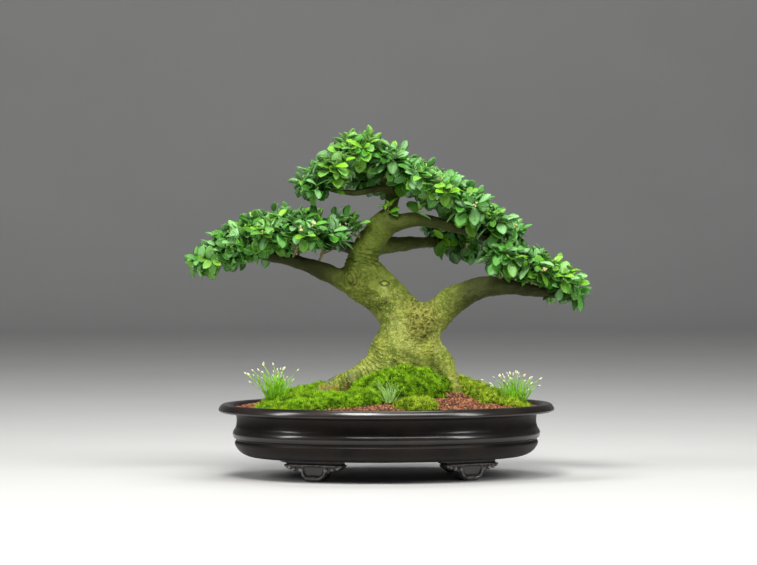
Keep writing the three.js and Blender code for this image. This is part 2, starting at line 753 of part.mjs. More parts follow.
// All sprays: the twigs first, each kept clear of the others, then the leaves that cross no other spray.
function sprays(woodSpace) {
  const made = [];
  PADS.forEach((pad) => {
    spraysOf(pad, SHOOT_SPACING).forEach((tips, index) => {
      made.push({ name: `spray_${pad.name}_${index + 1}`, pad, tips, number: made.length });
    });
  });
  for (const spray of made) {
    const others = made.filter((other) => other.pieces).flatMap((other) => other.pieces);
    for (let attempt = 0; attempt < 8; attempt++) {
      const twigs = sprayTwigs(spray.pad, spray.tips, spray.number, attempt);
      const grown = twigs.map((rule) => twig(rule, GAP));
      spray.starts = twigs.map((rule) => rule.start);
      spray.pieces = twigs.map((rule) => {
        const body = twig(rule);
        return { body, box: boxOf(body) };
      });
      if (!grown.some((body) => meets(body, others))) break;
    }
  }
  const woodPiece = [{ body: woodSpace, box: boxOf(woodSpace) }];
  for (const spray of made) {
    const others = made.filter((other) => other !== spray).flatMap((other) => other.pieces);
    spray.tips.forEach((tip, shoot) => {
      for (const leaf of shootLeaves(tip, spray.starts[shoot], 2, spray.number * 1009 + shoot * 31 + 1)) {
        const grown = leafSolid(leaf, GAP);
        const end = leaf.root.clone().addScaledVector(leaf.along, LEAF_LENGTH * leaf.size);
        if (Math.abs(end.x) > TREE_REACH || meets(grown, others) || meets(grown, woodPiece)) continue;
        const outer = { ...leaf, root: leaf.root.clone().addScaledVector(leaf.along, 0.16 * LEAF_LENGTH) };
        if (meets(leafSolid({ ...outer, size: leaf.size * 0.84 }), spray.pieces)) continue;
        const body = leafSolid(leaf);
        spray.pieces.push({ body, box: boxOf(body) });
      }
    });
  }
  return made.map(({ name, pieces }) => {
    let body = null;
    do {
      body = largest(Manifold.union(pieces.map((piece) => piece.body)).subtract(woodSpace));
      pieces.pop();
    } while (pinched(body));
    return { name, body };
  });
}

// Whether a solid touches itself along an edge once its corners are rounded to a ten-thousandth.
function pinched(body) {
  const { vertProperties, triVerts, numProp } = body.getMesh();
  const place = (index) =>
    [0, 1, 2].map((axis) => Math.round(vertProperties[index * numProp + axis] * 1e4)).join();
  const uses = new Map();
  for (let i = 0; i < triVerts.length; i += 3) {
    const corners = [0, 1, 2].map((k) => place(triVerts[i + k]));
    if (new Set(corners).size < 3) continue;
    corners.forEach((corner, k) => {
      const edge = [corner, corners[(k + 1) % 3]].sort().join("|");
      uses.set(edge, (uses.get(edge) ?? 0) + 1);
    });
  }
  return [...uses.values()].some((count) => count !== 2);
}

// Assembly

const MATERIALS = {
  clay: { color: 0x2a211d, roughness: 0.4 },
  plastic: { color: 0x151515, roughness: 0.6 },
  soil: { color: 0x6e2f22, roughness: 0.95 },
  bark: { color: 0x7d8a3a, roughness: 0.8 },
  leaf: { color: 0x2f8a35, roughness: 0.45 },
  moss: { color: 0x5fae1f, roughness: 0.95 },
  yellow_moss: { color: 0x95b52a, roughness: 0.95 },
  grass: { color: 0x4c9a35, roughness: 0.7 },
};

const bonsai = new THREE.Group();

function add(name, body, material) {
  const { vertProperties, triVerts, numProp } = body.getMesh();
  const position = new Float32Array((vertProperties.length / numProp) * 3);
  for (let i = 0; i < position.length / 3; i++)
    for (let axis = 0; axis < 3; axis++) position[i * 3 + axis] = vertProperties[i * numProp + axis];
  const geometry = new THREE.BufferGeometry()
    .setAttribute("position", new THREE.BufferAttribute(position, 3))
    .setIndex(new THREE.BufferAttribute(triVerts, 1));
  geometry.computeVertexNormals();
  const look = new THREE.MeshStandardMaterial({ ...MATERIALS[material], metalness: 0 });
  const mesh = new THREE.Mesh(geometry, look);
  mesh.name = name;
  bonsai.add(mesh);
}

const woodSpace = wood(GAP);
const crownSpaces = Object.values(GRASS).map((rule) => tuftCrown(rule, GAP));
const screens = { drain_screen_left: screen(-1), drain_screen_right: screen(1) };
const screenSpace = (side) => {
  const width = SCREEN_SIDE + 2 * GAP;
  return block(width, width, 4, (side * DRAIN_PITCH) / 2, 0, FLOOR_TOP + SCREEN_THICKNESS + 2 * GAP - 2);
};
const soilBody = soil(woodSpace, [screenSpace(-1), screenSpace(1), ...crownSpaces]);
const soilSpace = soilBody.add(soilBody.translate([0, 0, GAP]));

add("pot", pot(), "clay");
for (const [name, body] of Object.entries(screens)) add(name, body, "plastic");
add("soil", soilBody, "soil");
add("wood", wood(), "bark");

const laidMoss = [];
const tuftSpaces = Object.values(GRASS).map(tuftSpace);
for (const [name, lumps] of Object.entries(MOSS)) {
  const body = cushion(lumps, [soilSpace, woodSpace, ...crownSpaces, ...tuftSpaces, ...laidMoss]);
  const shifts = [-GAP, GAP].flatMap((step) => [[step, 0, 0], [0, step, 0], [0, 0, step]]);
  laidMoss.push(...shifts.map((shift) => body.translate(shift)));
  add(name, body, name === "moss_right" ? "yellow_moss" : "moss");
}
for (const [name, rule] of Object.entries(GRASS)) add(name, tuft(rule), "grass");
for (const { name, body } of sprays(woodSpace)) add(name, body, "leaf");

export default bonsai;
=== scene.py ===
"""Privet bonsai in an oval pot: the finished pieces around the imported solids."""

import math

import bmesh
import bpy
import numpy as np
from bpy.props import FloatProperty, FloatVectorProperty, PointerProperty
from mathutils import Euler, Matrix, Quaternion, Vector, noise


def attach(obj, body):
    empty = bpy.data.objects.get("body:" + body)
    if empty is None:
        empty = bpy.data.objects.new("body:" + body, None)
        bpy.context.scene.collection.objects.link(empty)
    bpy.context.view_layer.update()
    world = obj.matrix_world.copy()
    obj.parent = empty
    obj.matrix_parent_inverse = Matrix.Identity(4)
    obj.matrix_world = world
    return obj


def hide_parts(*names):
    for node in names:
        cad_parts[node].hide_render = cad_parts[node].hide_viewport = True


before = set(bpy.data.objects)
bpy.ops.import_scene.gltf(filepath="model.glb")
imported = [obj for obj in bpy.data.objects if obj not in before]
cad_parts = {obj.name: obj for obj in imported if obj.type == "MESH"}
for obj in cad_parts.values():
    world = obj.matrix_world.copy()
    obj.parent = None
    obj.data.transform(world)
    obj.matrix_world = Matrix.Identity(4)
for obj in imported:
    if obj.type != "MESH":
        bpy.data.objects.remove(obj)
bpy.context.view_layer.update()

bl_info = {
    "name": "Privet Bonsai",
    "version": (1, 0, 0),
    "blender": (4, 5, 0),
    "location": "View3D > Sidebar > Bonsai",
    "description": "Builds a privet bonsai with its pot, moss, grass and leaves",
    "category": "Object",
}

# Lengths in the rules below are in millimetres; meshes are in metres.
MM = 0.001
GOLDEN_ANGLE = math.pi * (3 - math.sqrt(5))

# Pot: radius along X and height of each point of its outside, then of its inside
FOOT_HEIGHT = 25
FLOOR_TOP = 33
POT_OUTSIDE = [
    (0, FOOT_HEIGHT), (120, FOOT_HEIGHT), (156, FOOT_HEIGHT), (163.4, 25.6), (170.4, 28.2), (175.8, 32.2),
    (179, 36.6), (180.6, 40), (180.4, 42.6), (179.3, 44.3), (179.5, 45.8), (181.6, 47.3),
    (183, 49.8), (183.2, 52.4), (182.6, 55),
    (181.2, 57.4), (179.7, 60), (178.9, 63.4), (178.5, 67.2), (178.6, 71.2), (179.4, 74.4), (181.6, 76.6),
    (185.5, 77.3), (193.5, 77.4), (197.8, 77.8), (199.6, 78.8), (200, 80.2), (199.3, 82.4), (198.1, 84.5),
    (196.6, 86.2), (194.2, 87.4), (190.6, 87.3), (187.4, 85.8), (185.4, 83.4), (184.5, 80.6),
]
POT_INSIDE = [
    (184, 78), (178, 73.4), (172.8, 69), (171.9, 64), (171, 52), (170, 43), (166, 36), (156, FLOOR_TOP),
    (0, FLOOR_TOP),
]
RIM = 200
# How much shorter the oval's half width is than its half length
OVAL_DIFFERENCE = 50
DRAIN_RADIUS = 12
DRAIN_X = 70
# Height of the middle of a drainage screen over the pot's floor
SCREEN_LIFT = 0.95
FOOT_CENTRE = (94, 68)
FOOT_TURN = math.radians(25)
# Scroll ends on a foot's wings: distance from its middle, height and radius
FOOT_KNOBS = [(15.8, 13.9, 2.5), (23.6, 14.9, 2.4), (29.6, 16.2, 2.1), (33.6, 17.3, 1.5)]

# Ground: the soil's inset from the rim, its height at the edge and the rise of its dome
SOIL_LIP = 16
SOIL_EDGE = 81.5
SOIL_DOME = 22
# The share of the soil's oval that moss and bare granules reach out to
MOSS_EDGE = 0.965
GRANULE_EDGE = 0.985
MOUND = {"x": 35, "y": 10, "reach_x": 58, "reach_y": 50, "height": 22}
MOSS = {
    "moss_mound": [
        {"x": -104, "y": -57, "half": (60, 43), "turn": -12, "height": 9},
        {"x": -46, "y": -74, "half": (44, 24), "turn": 10, "height": 10},
        {"x": 12, "y": -51, "half": (57, 27), "turn": 5, "height": 25},
    ],
    "moss_front": [{"x": 24, "y": -99, "half": (26, 17), "turn": 2, "height": 9}],
    "moss_right": [
        {"x": 108, "y": -4, "half": (31, 55), "turn": 12, "height": 12},
        {"x": 140, "y": -32, "half": (30, 24), "turn": 25, "height": 7},
    ],
    "moss_back_left": [{"x": -72, "y": 42, "half": (66, 44), "turn": 8, "height": 11}],
    "moss_back": [{"x": 40, "y": 88, "half": (68, 30), "turn": -6, "height": 10}],
}
GRASS = {
    "grass_left": {
        "x": -136, "y": -34, "stems": 30, "blades": 90, "height": 43, "spread": 40, "base": 7, "heads": True,
        "lean": -0.16, "blade": 1.0, "seed": 11,
    },
    "grass_right": {
        "x": 149, "y": -26, "stems": 44, "blades": 150, "height": 31, "spread": 37, "base": 14, "heads": True,
        "lean": 0.0, "blade": 0.8, "seed": 12,
    },
    "grass_centre": {
        "x": -8, "y": -92, "stems": 30, "blades": 9, "height": 26, "spread": 27, "base": 5, "heads": False,
        "lean": -0.2, "blade": 0.6, "seed": 13,
    },
}

# Wood: x, y, z and radius of each point of a route, from the thick end outwards
WOOD = {
    "trunk": [
        (24, 4, 96, 40), (26, 3, 124, 42), (29, 2, 148, 35.8), (29.8, 2, 166, 32.4), (20.2, 2, 187, 28.4),
        (5.2, 2, 207, 23.8), (-14.6, 1, 225.4, 23.6), (-30, -1, 248, 21), (-25, -3, 269, 16.4),
        (-13, -6, 289, 15), (-1, -8, 307, 10.5),
    ],
    "left_root": [
        (10, -1, 148, 28), (-10, -7, 129.5, 19), (-33, -13, 118.4, 15.4), (-55, -18, 109.2, 13),
        (-77, -24, 100.4, 10.8), (-100, -28, 91.2, 8), (-120, -31, 84, 5),
    ],
    "right_root": [
        (44, -4, 155, 22), (62, -13, 137, 15.6), (70, -19, 120, 13), (75, -26, 104, 11.8),
        (82, -33, 88, 9.4), (92, -38, 74, 6),
    ],
    "back_root": [(14, 16, 142, 24), (2, 42, 122, 15), (-10, 66, 106, 10), (-20, 86, 90, 6)],
    "back_right_root": [(44, 14, 140, 22), (62, 38, 120, 13), (78, 58, 104, 9), (92, 74, 88, 5.5)],
    "left_branch": [
        (-30, 1, 226, 17), (-58, 0, 237, 11.5), (-79, -2, 246, 9.7), (-105, -4, 255, 7.9),
        (-145, -4, 264, 6.1), (-185, -3, 268, 4.4), (-222, -1, 261, 2.2),
    ],
    "left_back_branch": [
        (-27, 4, 266, 9), (-48, 23, 273, 6.6), (-70, 42, 276, 5.4), (-93, 58, 279, 4.4), (-116, 70, 283, 2.8),
    ],
    "right_branch": [
        (34, 0, 170, 26), (59, -6, 193, 19), (76, -12, 208, 16), (93, -17, 218, 14.4),
        (114, -20, 226, 12.6), (146, -22, 225, 9), (184, -19, 219, 5.8), (218, -12, 213, 2.6),
    ],
    "upper_right_branch": [
        (-7, -7, 298, 12), (14, -12, 303, 9.5), (40, -16, 305, 7.6), (76, -18, 297, 6.1),
        (112, -16, 285, 4.6), (144, -14, 274, 2.6),
    ],
    "back_right_branch": [
        (-18, 0, 272, 11), (9, 15, 275, 9.5), (34, 33, 277, 7.7), (60, 50, 278, 6), (86, 63, 274, 4.8),
        (107, 72, 268, 3),
    ],
    "leader": [
        (-3, -7, 302, 9.5), (4, -6, 318, 6.4), (6, -4, 331, 5.5), (2, -2, 345, 5), (-6, 1, 358, 4.3),
        (-17, 4, 369, 3.4), (-29, 6, 379, 2.4),
    ],
    "crown_left_branch": [
        (3, -3, 342, 4.8), (-17, -6, 341, 4), (-39, -9, 337, 3.6), (-61, -10, 340, 3.1), (-82, -8, 345, 2.3),
    ],
    "crown_right_branch": [
        (5, -4, 330, 5), (22, -2, 342, 4.2), (43, -1, 341, 3.7), (66, -1, 331, 3.2), (90, -1, 317, 2.4),
    ],
    "back_branch": [
        (5, -4, 326, 6), (6, 12, 338, 5.4), (3, 32, 347, 4.8), (-1, 54, 352, 4.2), (-6, 80, 352, 3),
    ],
}
ROOTS = ("left_root", "right_root", "back_root", "back_right_root")
# How widely a limb's foot is rounded into the wood that it grows from
BLENDS = {"left_root": 16, "right_root": 7, "back_root": 12, "back_right_root": 12, "right_branch": 6}
USUAL_BLEND = 7
BURL = {"at": (37, -21, 185), "radii": (18, 14, 23), "lean": 12, "blend": 2.5}
# Folds of the bark: they fan out from a centre left of the trunk, ring its bend and circle a knot
FOLD_CENTRE = (-61.5, 174)
FOLD_RADIUS = 52
FOLD_PITCH = 4.4
BEND_HEIGHT = 260
KNOT = (-44, -14, 238)
KNOT_PITCH = 3.6
CREASE_PITCH = 5.2
ROOT_PITCH = 4.2
# Painted highlights and painted shadows on the front of the wood: x, z, half width, half height and strength,
# painted shadow under 0
PAINTED_LIGHT_PATCHES = [
    (12, 178, 10, 17, 0.7), (-5, 222, 6, 14, 0.5), (26, 158, 17, 6, 0.5), (60, 156, 9, 9, 0.5),
    (-20, 133, 20, 6, 0.35), (32, 141, 22, 8, -0.8), (41, 162, 16, 2.4, -0.65), (20, 212, 8, 14, -0.45),
    (-14, 203, 6, 9, -0.3), (52, 118, 8, 18, -0.6),
]
# Swellings and hollows: centre, reach and height in millimetres
SWELLINGS = [
    ((73, -8, 164), 11, -5.5), ((78, -16, 145), 8, 2.2), ((45, -34, 126), 11, -3.0), ((18, -26, 214), 8, 1.8),
    ((-2, -30, 204), 6, 1.2), ((4, -24, 231), 5, 1.0), ((41, -30, 161), 6, -1.6), ((-43, -13, 238), 8, 0.8),
]
# An oval ring on the trunk where a branch was cut off
SCAR = {"at": (-4.5, -21, 230), "half": (5.6, 12, 2.9)}
WOOD_BOTTOM = 72

# Foliage: the limb that carries each pad, its centre, half sizes, slope in degrees and number of sprays
PADS = {
    "left_tip": ("left_branch", (-213, -3, 261), (18, 20, 11), 22, 1),
    "left_outer": ("left_branch", (-179, -4, 277), (28, 33, 17), 20, 2),
    "left_middle": ("left_branch", (-141, -6, 291), (29, 44, 21), 12, 3),
    "left_inner": ("left_branch", (-103, -10, 291), (26, 46, 18), -4, 2),
    "left_heel": ("left_branch", (-70, -8, 288), (18, 34, 12), -12, 1),
    "left_back": ("left_back_branch", (-104, 62, 294), (34, 32, 15), 4, 2),
    "crown_left": ("crown_left_branch", (-88, -6, 349), (17, 34, 16), 20, 2),
    "crown_high": ("crown_left_branch", (-63, -2, 368), (24, 46, 14), 30, 2),
    "apex": ("leader", (-35, 2, 389), (26, 46, 17), 8, 3),
    "crown_top": ("leader", (0, 0, 378), (24, 50, 16), -18, 2),
    "crown_right": ("crown_right_branch", (31, -4, 358), (24, 54, 17), -28, 3),
    "shoulder": ("crown_right_branch", (62, -6, 342), (25, 56, 17), -26, 3),
    "shoulder_low": ("upper_right_branch", (92, -8, 324), (25, 52, 19), -28, 3),
    "right_upper": ("upper_right_branch", (122, -8, 304), (21, 42, 14), -20, 2),
    "right_spur": ("upper_right_branch", (147, -8, 294), (11, 22, 8), -10, 1),
    "right_inner": ("right_branch", (140, -12, 264), (23, 42, 14), -20, 2),
    "right_middle": ("right_branch", (174, -12, 252), (22, 40, 13), -24, 2),
    "right_outer": ("right_branch", (204, -10, 237), (19, 32, 12), -30, 2),
    "right_tip": ("right_branch", (228, -8, 224), (10, 18, 11), -35, 1),
    "back_right": ("back_right_branch", (92, 70, 286), (34, 32, 16), -10, 2),
    "back_middle": ("back_branch", (-4, 74, 361), (36, 28, 15), -4, 2),
}
# How far down a pad's main and finer shoots go, where -1 is its lowest point, and how far the lowest hang
PAD_UNDERSIDE = -0.42
HANGING_UNDERSIDE = -0.86
HANG = 5
# How far the finer shoots end inside a pad's surface where its leaves would reach too far out
INSETS = {
    "crown_left": 5, "crown_high": 6, "apex": 6, "crown_top": 7, "crown_right": 7, "shoulder": 4,
    "shoulder_low": 4, "right_upper": 2,
}
# The same as the hanging underside for pads whose leaves don't hang below their branch
UNDERSIDES = {"left_heel": -0.3, "left_inner": -0.6, "crown_left": -0.55}
# Shoots straight from the old wood: where they leave it, their tips and the share of young leaves
SPURS = [
    (
        (-33, -10, 284),
        [(-40, -14, 304), (-50, -12, 308), (-58, -9, 303), (-47, -17, 297), (-63, -8, 309)],
        0.2,
    ),
    ((-1, -15, 311), [(1, -18, 322), (-4, -16, 318)], 1.0),
    ((30, -12, 306), [(36, -20, 318)], 0.3),
]
# Size of the inner layer of shoots as a share of the pad, and distance between the main tips of the sprays
INNER_LEVEL = 0.64
MAIN_SPACING = 40.2
# Farthest that a leaf may reach from the middle of the pot, and the share of shoots that end in buds
TREE_REACH = 242
BUDDING = 0.16
# Share of young, yellow-green leaves where it isn't the usual one
YOUTH = {
    "left_tip": 0.5, "left_outer": 0.45, "apex": 0.6, "crown_high": 0.5, "right_tip": 0.6, "right_outer": 0.5,
}
USUAL_YOUTH = 0.28

# Studio, in metres: the floor's half width, its front edge, where and how widely it bends up, and its top
FLOOR_HALF_WIDTH = 8.0
FLOOR_FRONT = -7.0
FLOOR_BEND = 4.6
BEND_RADIUS = 1.6
WALL_TOP = 6.0
# What the lights are turned to, and the camera's shift to the right of the pot's centre
LIT_PLACE = (0, 0, 0.2)
CAMERA_SHIFT = -0.00985
# Lights: place, size, power and tint
LIGHTS = {
    "key": ((-0.55, -1.5, 2.6), (0.8, 0.7), 48, (1, 0.985, 0.95)),
    "front": ((0.25, -1.9, 2.5), (2.4, 0.6), 52, (1, 0.99, 0.97)),
    "left": ((-2.4, -0.9, 1.8), (0.5, 1.6), 36, (1, 1, 1)),
    "right": ((1.9, -1.7, 1.8), (0.5, 1.6), 32, (1, 1, 1)),
    "top": ((0.1, 0.3, 2.1), (1.0, 0.8), 16, (1, 1, 1)),
}


# Settings


def length(name, default, description):
    return FloatProperty(
        name=name, default=default, description=description, min=0, unit="LENGTH", precision=4
    )


def colour(name, default, description):
    return FloatVectorProperty(
        name=name, default=default, description=description, subtype="COLOR", size=3, min=0, max=1
    )


class BONSAI_PG_pot(bpy.types.PropertyGroup):
    # The feet's lighter glaze is worn glaze and also painted light against the shade under the pot.
    glaze_worn_and_lit: colour("Glaze, worn", (0.07, 0.066, 0.062), "Colour of the worn glaze on the feet")
    # The pale colour on the feet's foremost knobs and lips is wear and painted glints.
    glaze_rubbed_and_glinting: colour("Glaze, rubbed", (0.48, 0.46, 0.44), "Colour of the clay where the feet are rubbed")
    foot_voxel: length("Foot detail", 0.0008, "Size of the smallest form kept in the feet")
    glaze_dark: colour("Glaze, dark", (0.006, 0.004, 0.0035), "Colour of the glaze where it is thick")
    glaze_warm: colour("Glaze, warm", (0.017, 0.0115, 0.009), "Colour of the glaze where it is thin")
    screen_bar: length("Screen bar", 0.0011, "Width of a bar of the drainage screens")
    screen_pitch: length("Screen pitch", 0.0038, "Distance between the bars of the drainage screens")


class BONSAI_PG_ground(bpy.types.PropertyGroup):
    granule: length("Granule size", 0.0034, "Width of a granule of baked clay")
    granule_dark: colour("Granules, damp", (0.13, 0.04, 0.02), "Colour of damp baked clay")
    granule_light: colour("Granules, dry", (0.46, 0.17, 0.075), "Colour of dry baked clay")
    sprig: length("Moss sprig height", 0.0046, "Height of one sprig of moss")
    sprig_spacing: length("Moss sprig spacing", 0.0023, "Least distance between two sprigs of moss")
    moss_detail: length("Moss detail", 0.0023, "Size of the faces of the cushions under their sprigs")
    moss_dark: colour("Moss, dark", (0.05, 0.14, 0.004), "Colour of moss in its hollows")
    moss_light: colour("Moss, light", (0.28, 0.53, 0.014), "Colour of moss at its tips")
    moss_yellow: colour("Moss, yellow", (0.42, 0.56, 0.035), "Colour of the yellow cushion's tips")
    grass: colour("Grass", (0.26, 0.58, 0.03), "Colour of the grass stems")
    grass_pale: colour("Grass, pale", (0.5, 0.82, 0.24), "Colour of the silvery blades")
    seed_head: colour("Seed heads", (0.86, 0.86, 0.6), "Colour of the seed heads")


class BONSAI_PG_wood(bpy.types.PropertyGroup):
    detail: length("Wood detail", 0.0014, "Size of the faces of the wood")
    wrinkle: length("Wrinkle depth", 0.00045, "Depth of the folds in the bark")
    bark_green: colour("Bark, green", (0.112, 0.17, 0.009), "Colour of the green bark")
    bark_light: colour("Bark, light", (0.28, 0.33, 0.036), "Colour of the worn, light bark")
    # The dark bark colour is also the painted shade in the folds' grooves.
    bark_dark_and_groove_shade: colour("Bark, dark", (0.045, 0.06, 0.006), "Colour of pores and folds")
    # The thin wood's colour is its own brown bark, darkened further as painted shade under the foliage.
    bark_brown_and_shade: colour("Bark, brown", (0.028, 0.03, 0.007), "Colour of the thin upper wood")
    lichen_grey: colour("Lichen, grey", (0.19, 0.215, 0.15), "Colour of the grey lichen")
    lichen_orange: colour("Lichen, orange", (0.52, 0.25, 0.02), "Colour of the orange lichen")


class BONSAI_PG_foliage(bpy.types.PropertyGroup):
    leaf_length: length("Leaf length", 0.0186, "Length of a usual leaf")
    leaf_width: length("Leaf width", 0.0128, "Width of a usual leaf")
    shoot_spacing: length("Shoot spacing", 0.0168, "Distance between the tips of two shoots")
    pair_spacing: length("Pair spacing", 0.0052, "Distance between two pairs of leaves")
    twig: length("Twig radius", 0.0011, "Radius of a twig at its thick end")
    leaf_green: colour("Leaf, green", (0.052, 0.285, 0.008), "Colour of a grown leaf")
    leaf_blue: colour("Leaf, pale", (0.11, 0.42, 0.048), "Colour of a grown leaf's paler places")
    # Painted sheen: a pale highlight colour painted on the middle of grown leaves.
    leaf_painted_sheen: colour("Leaf, bloom", (0.25, 0.5, 0.21), "Colour of the pale bloom on a grown leaf")
    # The deep colour is painted shade inside the pads, and the darker tone of old leaves.
    leaf_old_and_shaded: colour("Leaf, deep", (0.006, 0.055, 0.003), "Colour of the old leaves inside a pad")
    leaf_young: colour("Leaf, young", (0.23, 0.56, 0.012), "Colour of a young leaf")
    leaf_rib: colour("Leaf ribs", (0.3, 0.5, 0.13), "Colour of ribs and margins")
    twig_tan: colour("Twigs", (0.25, 0.2, 0.07), "Colour of the young twigs")
    bud: colour("Buds", (0.85, 0.78, 0.42), "Colour of the buds")


class BONSAI_PG_stage(bpy.types.PropertyGroup):
    floor: colour("Floor", (0.62, 0.62, 0.61), "Colour of the studio floor")
    lens: FloatProperty(name="Lens", default=149.42, description="Focal length of the camera", unit="CAMERA")
    distance: length("Distance", 3.73, "Level distance from the camera to the pot's centre")
    camera_height: length("Camera height", 0.3144, "Height of the camera over the pot's feet")
    yaw: FloatProperty(
        name="Yaw", default=math.radians(6), description="Turn of the camera about the pot", subtype="ANGLE"
    )
    pitch: FloatProperty(
        name="Pitch", default=math.radians(1.285), description="Downward tilt of the camera", subtype="ANGLE"
    )


SETTINGS = {
    "bonsai_pot": BONSAI_PG_pot,
    "bonsai_ground": BONSAI_PG_ground,
    "bonsai_wood": BONSAI_PG_wood,
    "bonsai_foliage": BONSAI_PG_foliage,
    "bonsai_stage": BONSAI_PG_stage,
}


# Meshes


def linked(name, data):
    """A new object at the origin with the given data, in the scene."""
    made = bpy.data.objects.new(name, data)
    bpy.context.scene.collection.objects.link(made)
    return made


def mesh_object(name, vertices, faces, edges=()):
    """An object from millimetre points, in the scene."""
    mesh = bpy.data.meshes.new(name)
    points = np.asarray(vertices, float).reshape(-1, 3) * MM
    mesh.from_pydata(points.tolist(), list(edges), faces)
    mesh.update()
    return linked(name, mesh)


def closed_object(name, points, faces):
    """An object of closed shells, with every face turned outwards."""
    made = mesh_object(name, points, faces)
    shape = bmesh.new()
    shape.from_mesh(made.data)
    bmesh.ops.recalc_face_normals(shape, faces=shape.faces)
    shape.to_mesh(made.data)
    shape.free()
    return made


def set_smooth(mesh, smooth=True):
    mesh.polygons.foreach_set("use_smooth", [smooth] * len(mesh.polygons))


def add_attribute(mesh, name, kind, domain, values):
    layer = mesh.attributes.new(name, kind, domain)
    key = {"FLOAT": "value", "INT": "value", "FLOAT_VECTOR": "vector"}[kind]
    layer.data.foreach_set(key, np.asarray(values, np.int32 if kind == "INT" else np.float32).ravel())


def vertices_of(mesh):
    """The mesh's points in millimetres."""
    flat = np.empty(len(mesh.vertices) * 3, np.float32)
    mesh.vertices.foreach_get("co", flat)
    return flat.reshape(-1, 3).astype(float) / MM


def place_vertices(mesh, points):
    mesh.vertices.foreach_set("co", (points * MM).astype(np.float32).ravel())
    mesh.update()


def plain_mesh(source, name):
    """The object's mesh with its modifiers carried out, as a new object; the source is removed."""
    graph = bpy.context.evaluated_depsgraph_get()
    mesh = bpy.data.meshes.new_from_object(
        source.evaluated_get(graph), preserve_all_data_layers=True, depsgraph=graph
    )
    mesh.name = name
    old = source.data
    bpy.data.objects.remove(source)
    if old.users == 0:
        bpy.data.meshes.remove(old)
    return linked(name, mesh)


def remeshed(source, name, voxel, smoothing):
    """One closed skin over all the source's shells."""
    remesh = source.modifiers.new("Remesh", "REMESH")
    remesh.mode = "VOXEL"
    remesh.voxel_size = voxel
    if smoothing:
        smooth = source.modifiers.new("Smooth", "SMOOTH")
        smooth.factor = 0.5
        smooth.iterations = smoothing
    return plain_mesh(source, name)


def joined(name, objects):
    """The objects' meshes as one object; the sources are removed."""
    whole = bmesh.new()
    for source in objects:
        whole.from_mesh(source.data)
        bpy.data.objects.remove(source)
    mesh = bpy.data.meshes.new(name)
    whole.to_mesh(mesh)
    whole.free()
    return linked(name, mesh)


def finished(piece, nodes=(), smooth=True):
    """Finishes a piece: it rides on the one body and hides the solids that it stands for."""
    if piece.modifiers:
        raise RuntimeError(piece.name + " still has a modifier")
    set_smooth(piece.data, smooth)
    piece.data.update()
    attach(piece, "root")
    if nodes:
        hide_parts(*nodes)
    return piece


def shell(rings):
    """Points and faces of a skin through rings of points; each end is closed by a pole."""
    rings = [np.asarray(ring, float) for ring in rings]
    sides = len(rings[0])
    poles = [rings[0].mean(0), rings[-1].mean(0)]
    points = np.concatenate([*rings, np.array(poles)])
    first_pole, last_pole = len(points) - 2, len(points) - 1
    last = (len(rings) - 1) * sides
    following = [(j + 1) % sides for j in range(sides)]
    faces = []
    for low in range(0, last, sides):
        high = low + sides
        faces += [(low + j, low + k, high + k, high + j) for j, k in enumerate(following)]
    faces += [(first_pole, k, j) for j, k in enumerate(following)]
    faces += [(last_pole, last + j, last + k) for j, k in enumerate(following)]
    return points, faces


def tube(path, radii, sides):
    """A closed tube along points, with a frame carried from one to the next."""
    path = np.asarray(path, float)
    tangents = np.gradient(path, axis=0)
    tangents /= np.linalg.norm(tangents, axis=1)[:, None]
    across = np.cross(tangents[0], (0.31, 0.2, 0.93))
    rings = []
    turns = np.linspace(0, 2 * math.pi, sides, endpoint=False)
    for centre, along, radius in zip(path, tangents, radii):
        across = across - along * (across @ along)
        across /= np.linalg.norm(across)
        second = np.cross(along, across)
        rings.append(centre + radius * (np.outer(np.cos(turns), across) + np.outer(np.sin(turns), second)))
    return shell(rings)


def ball(fineness, placed):
    """Points and faces of a unit sphere of triangles, with each point put where the function says."""
    shape = bmesh.new()
    bmesh.ops.create_icosphere(shape, subdivisions=fineness, radius=1)
    points = np.array([placed(corner.co)[:] for corner in shape.verts])
    faces = [tuple(corner.index for corner in face.verts) for face in shape.faces]
    shape.free()
    return points, faces


def ellipsoid(centre, radii, lean=0.0):
    turn = Matrix.Rotation(math.radians(lean), 3, "Y")
    points, faces = ball(3, lambda unit: turn @ Vector([unit[i] * radii[i] for i in range(3)]))
    return points + np.array(centre, float), faces


def extruded(outline, front, back):
    """A flat outline of x, z points given depth along Y."""
    count = len(outline)
    points = [(x, front, z) for x, z in outline] + [(x, back, z) for x, z in outline]
    faces = [tuple(range(count)), tuple(range(2 * count - 1, count - 1, -1))]
    faces += [(i, i + count, (i + 1) % count + count, (i + 1) % count) for i in range(count)]
    return np.array(points, float), faces


def gathered(parts):
    """Several (points, faces) as one."""
    points, faces, start = [], [], 0
    for part_points, part_faces in parts:
        points.append(part_points)
        faces += [tuple(i + start for i in face) for face in part_faces]
        start += len(part_points)
    return np.concatenate(points), faces


def spline(rows, steps):
    """Points on a smooth curve through the rows, with the given steps between two of them."""
    rows = np.asarray(rows, float)
    padded = np.vstack([2 * rows[0] - rows[1], rows, 2 * rows[-1] - rows[-2]])
    found = []
    for i in range(len(rows) - 1):
        a, b, c, d = padded[i : i + 4]
        first, last = 0.5 * (c - a), 0.5 * (d - b)
        for step in range(steps):
            t = step / steps
            square = -3 * b + 3 * c - 2 * first - last
            cube = 2 * b - 2 * c + first + last
            found.append(b + first * t + square * t**2 + cube * t**3)
    found.append(rows[-1])
    return np.array(found)


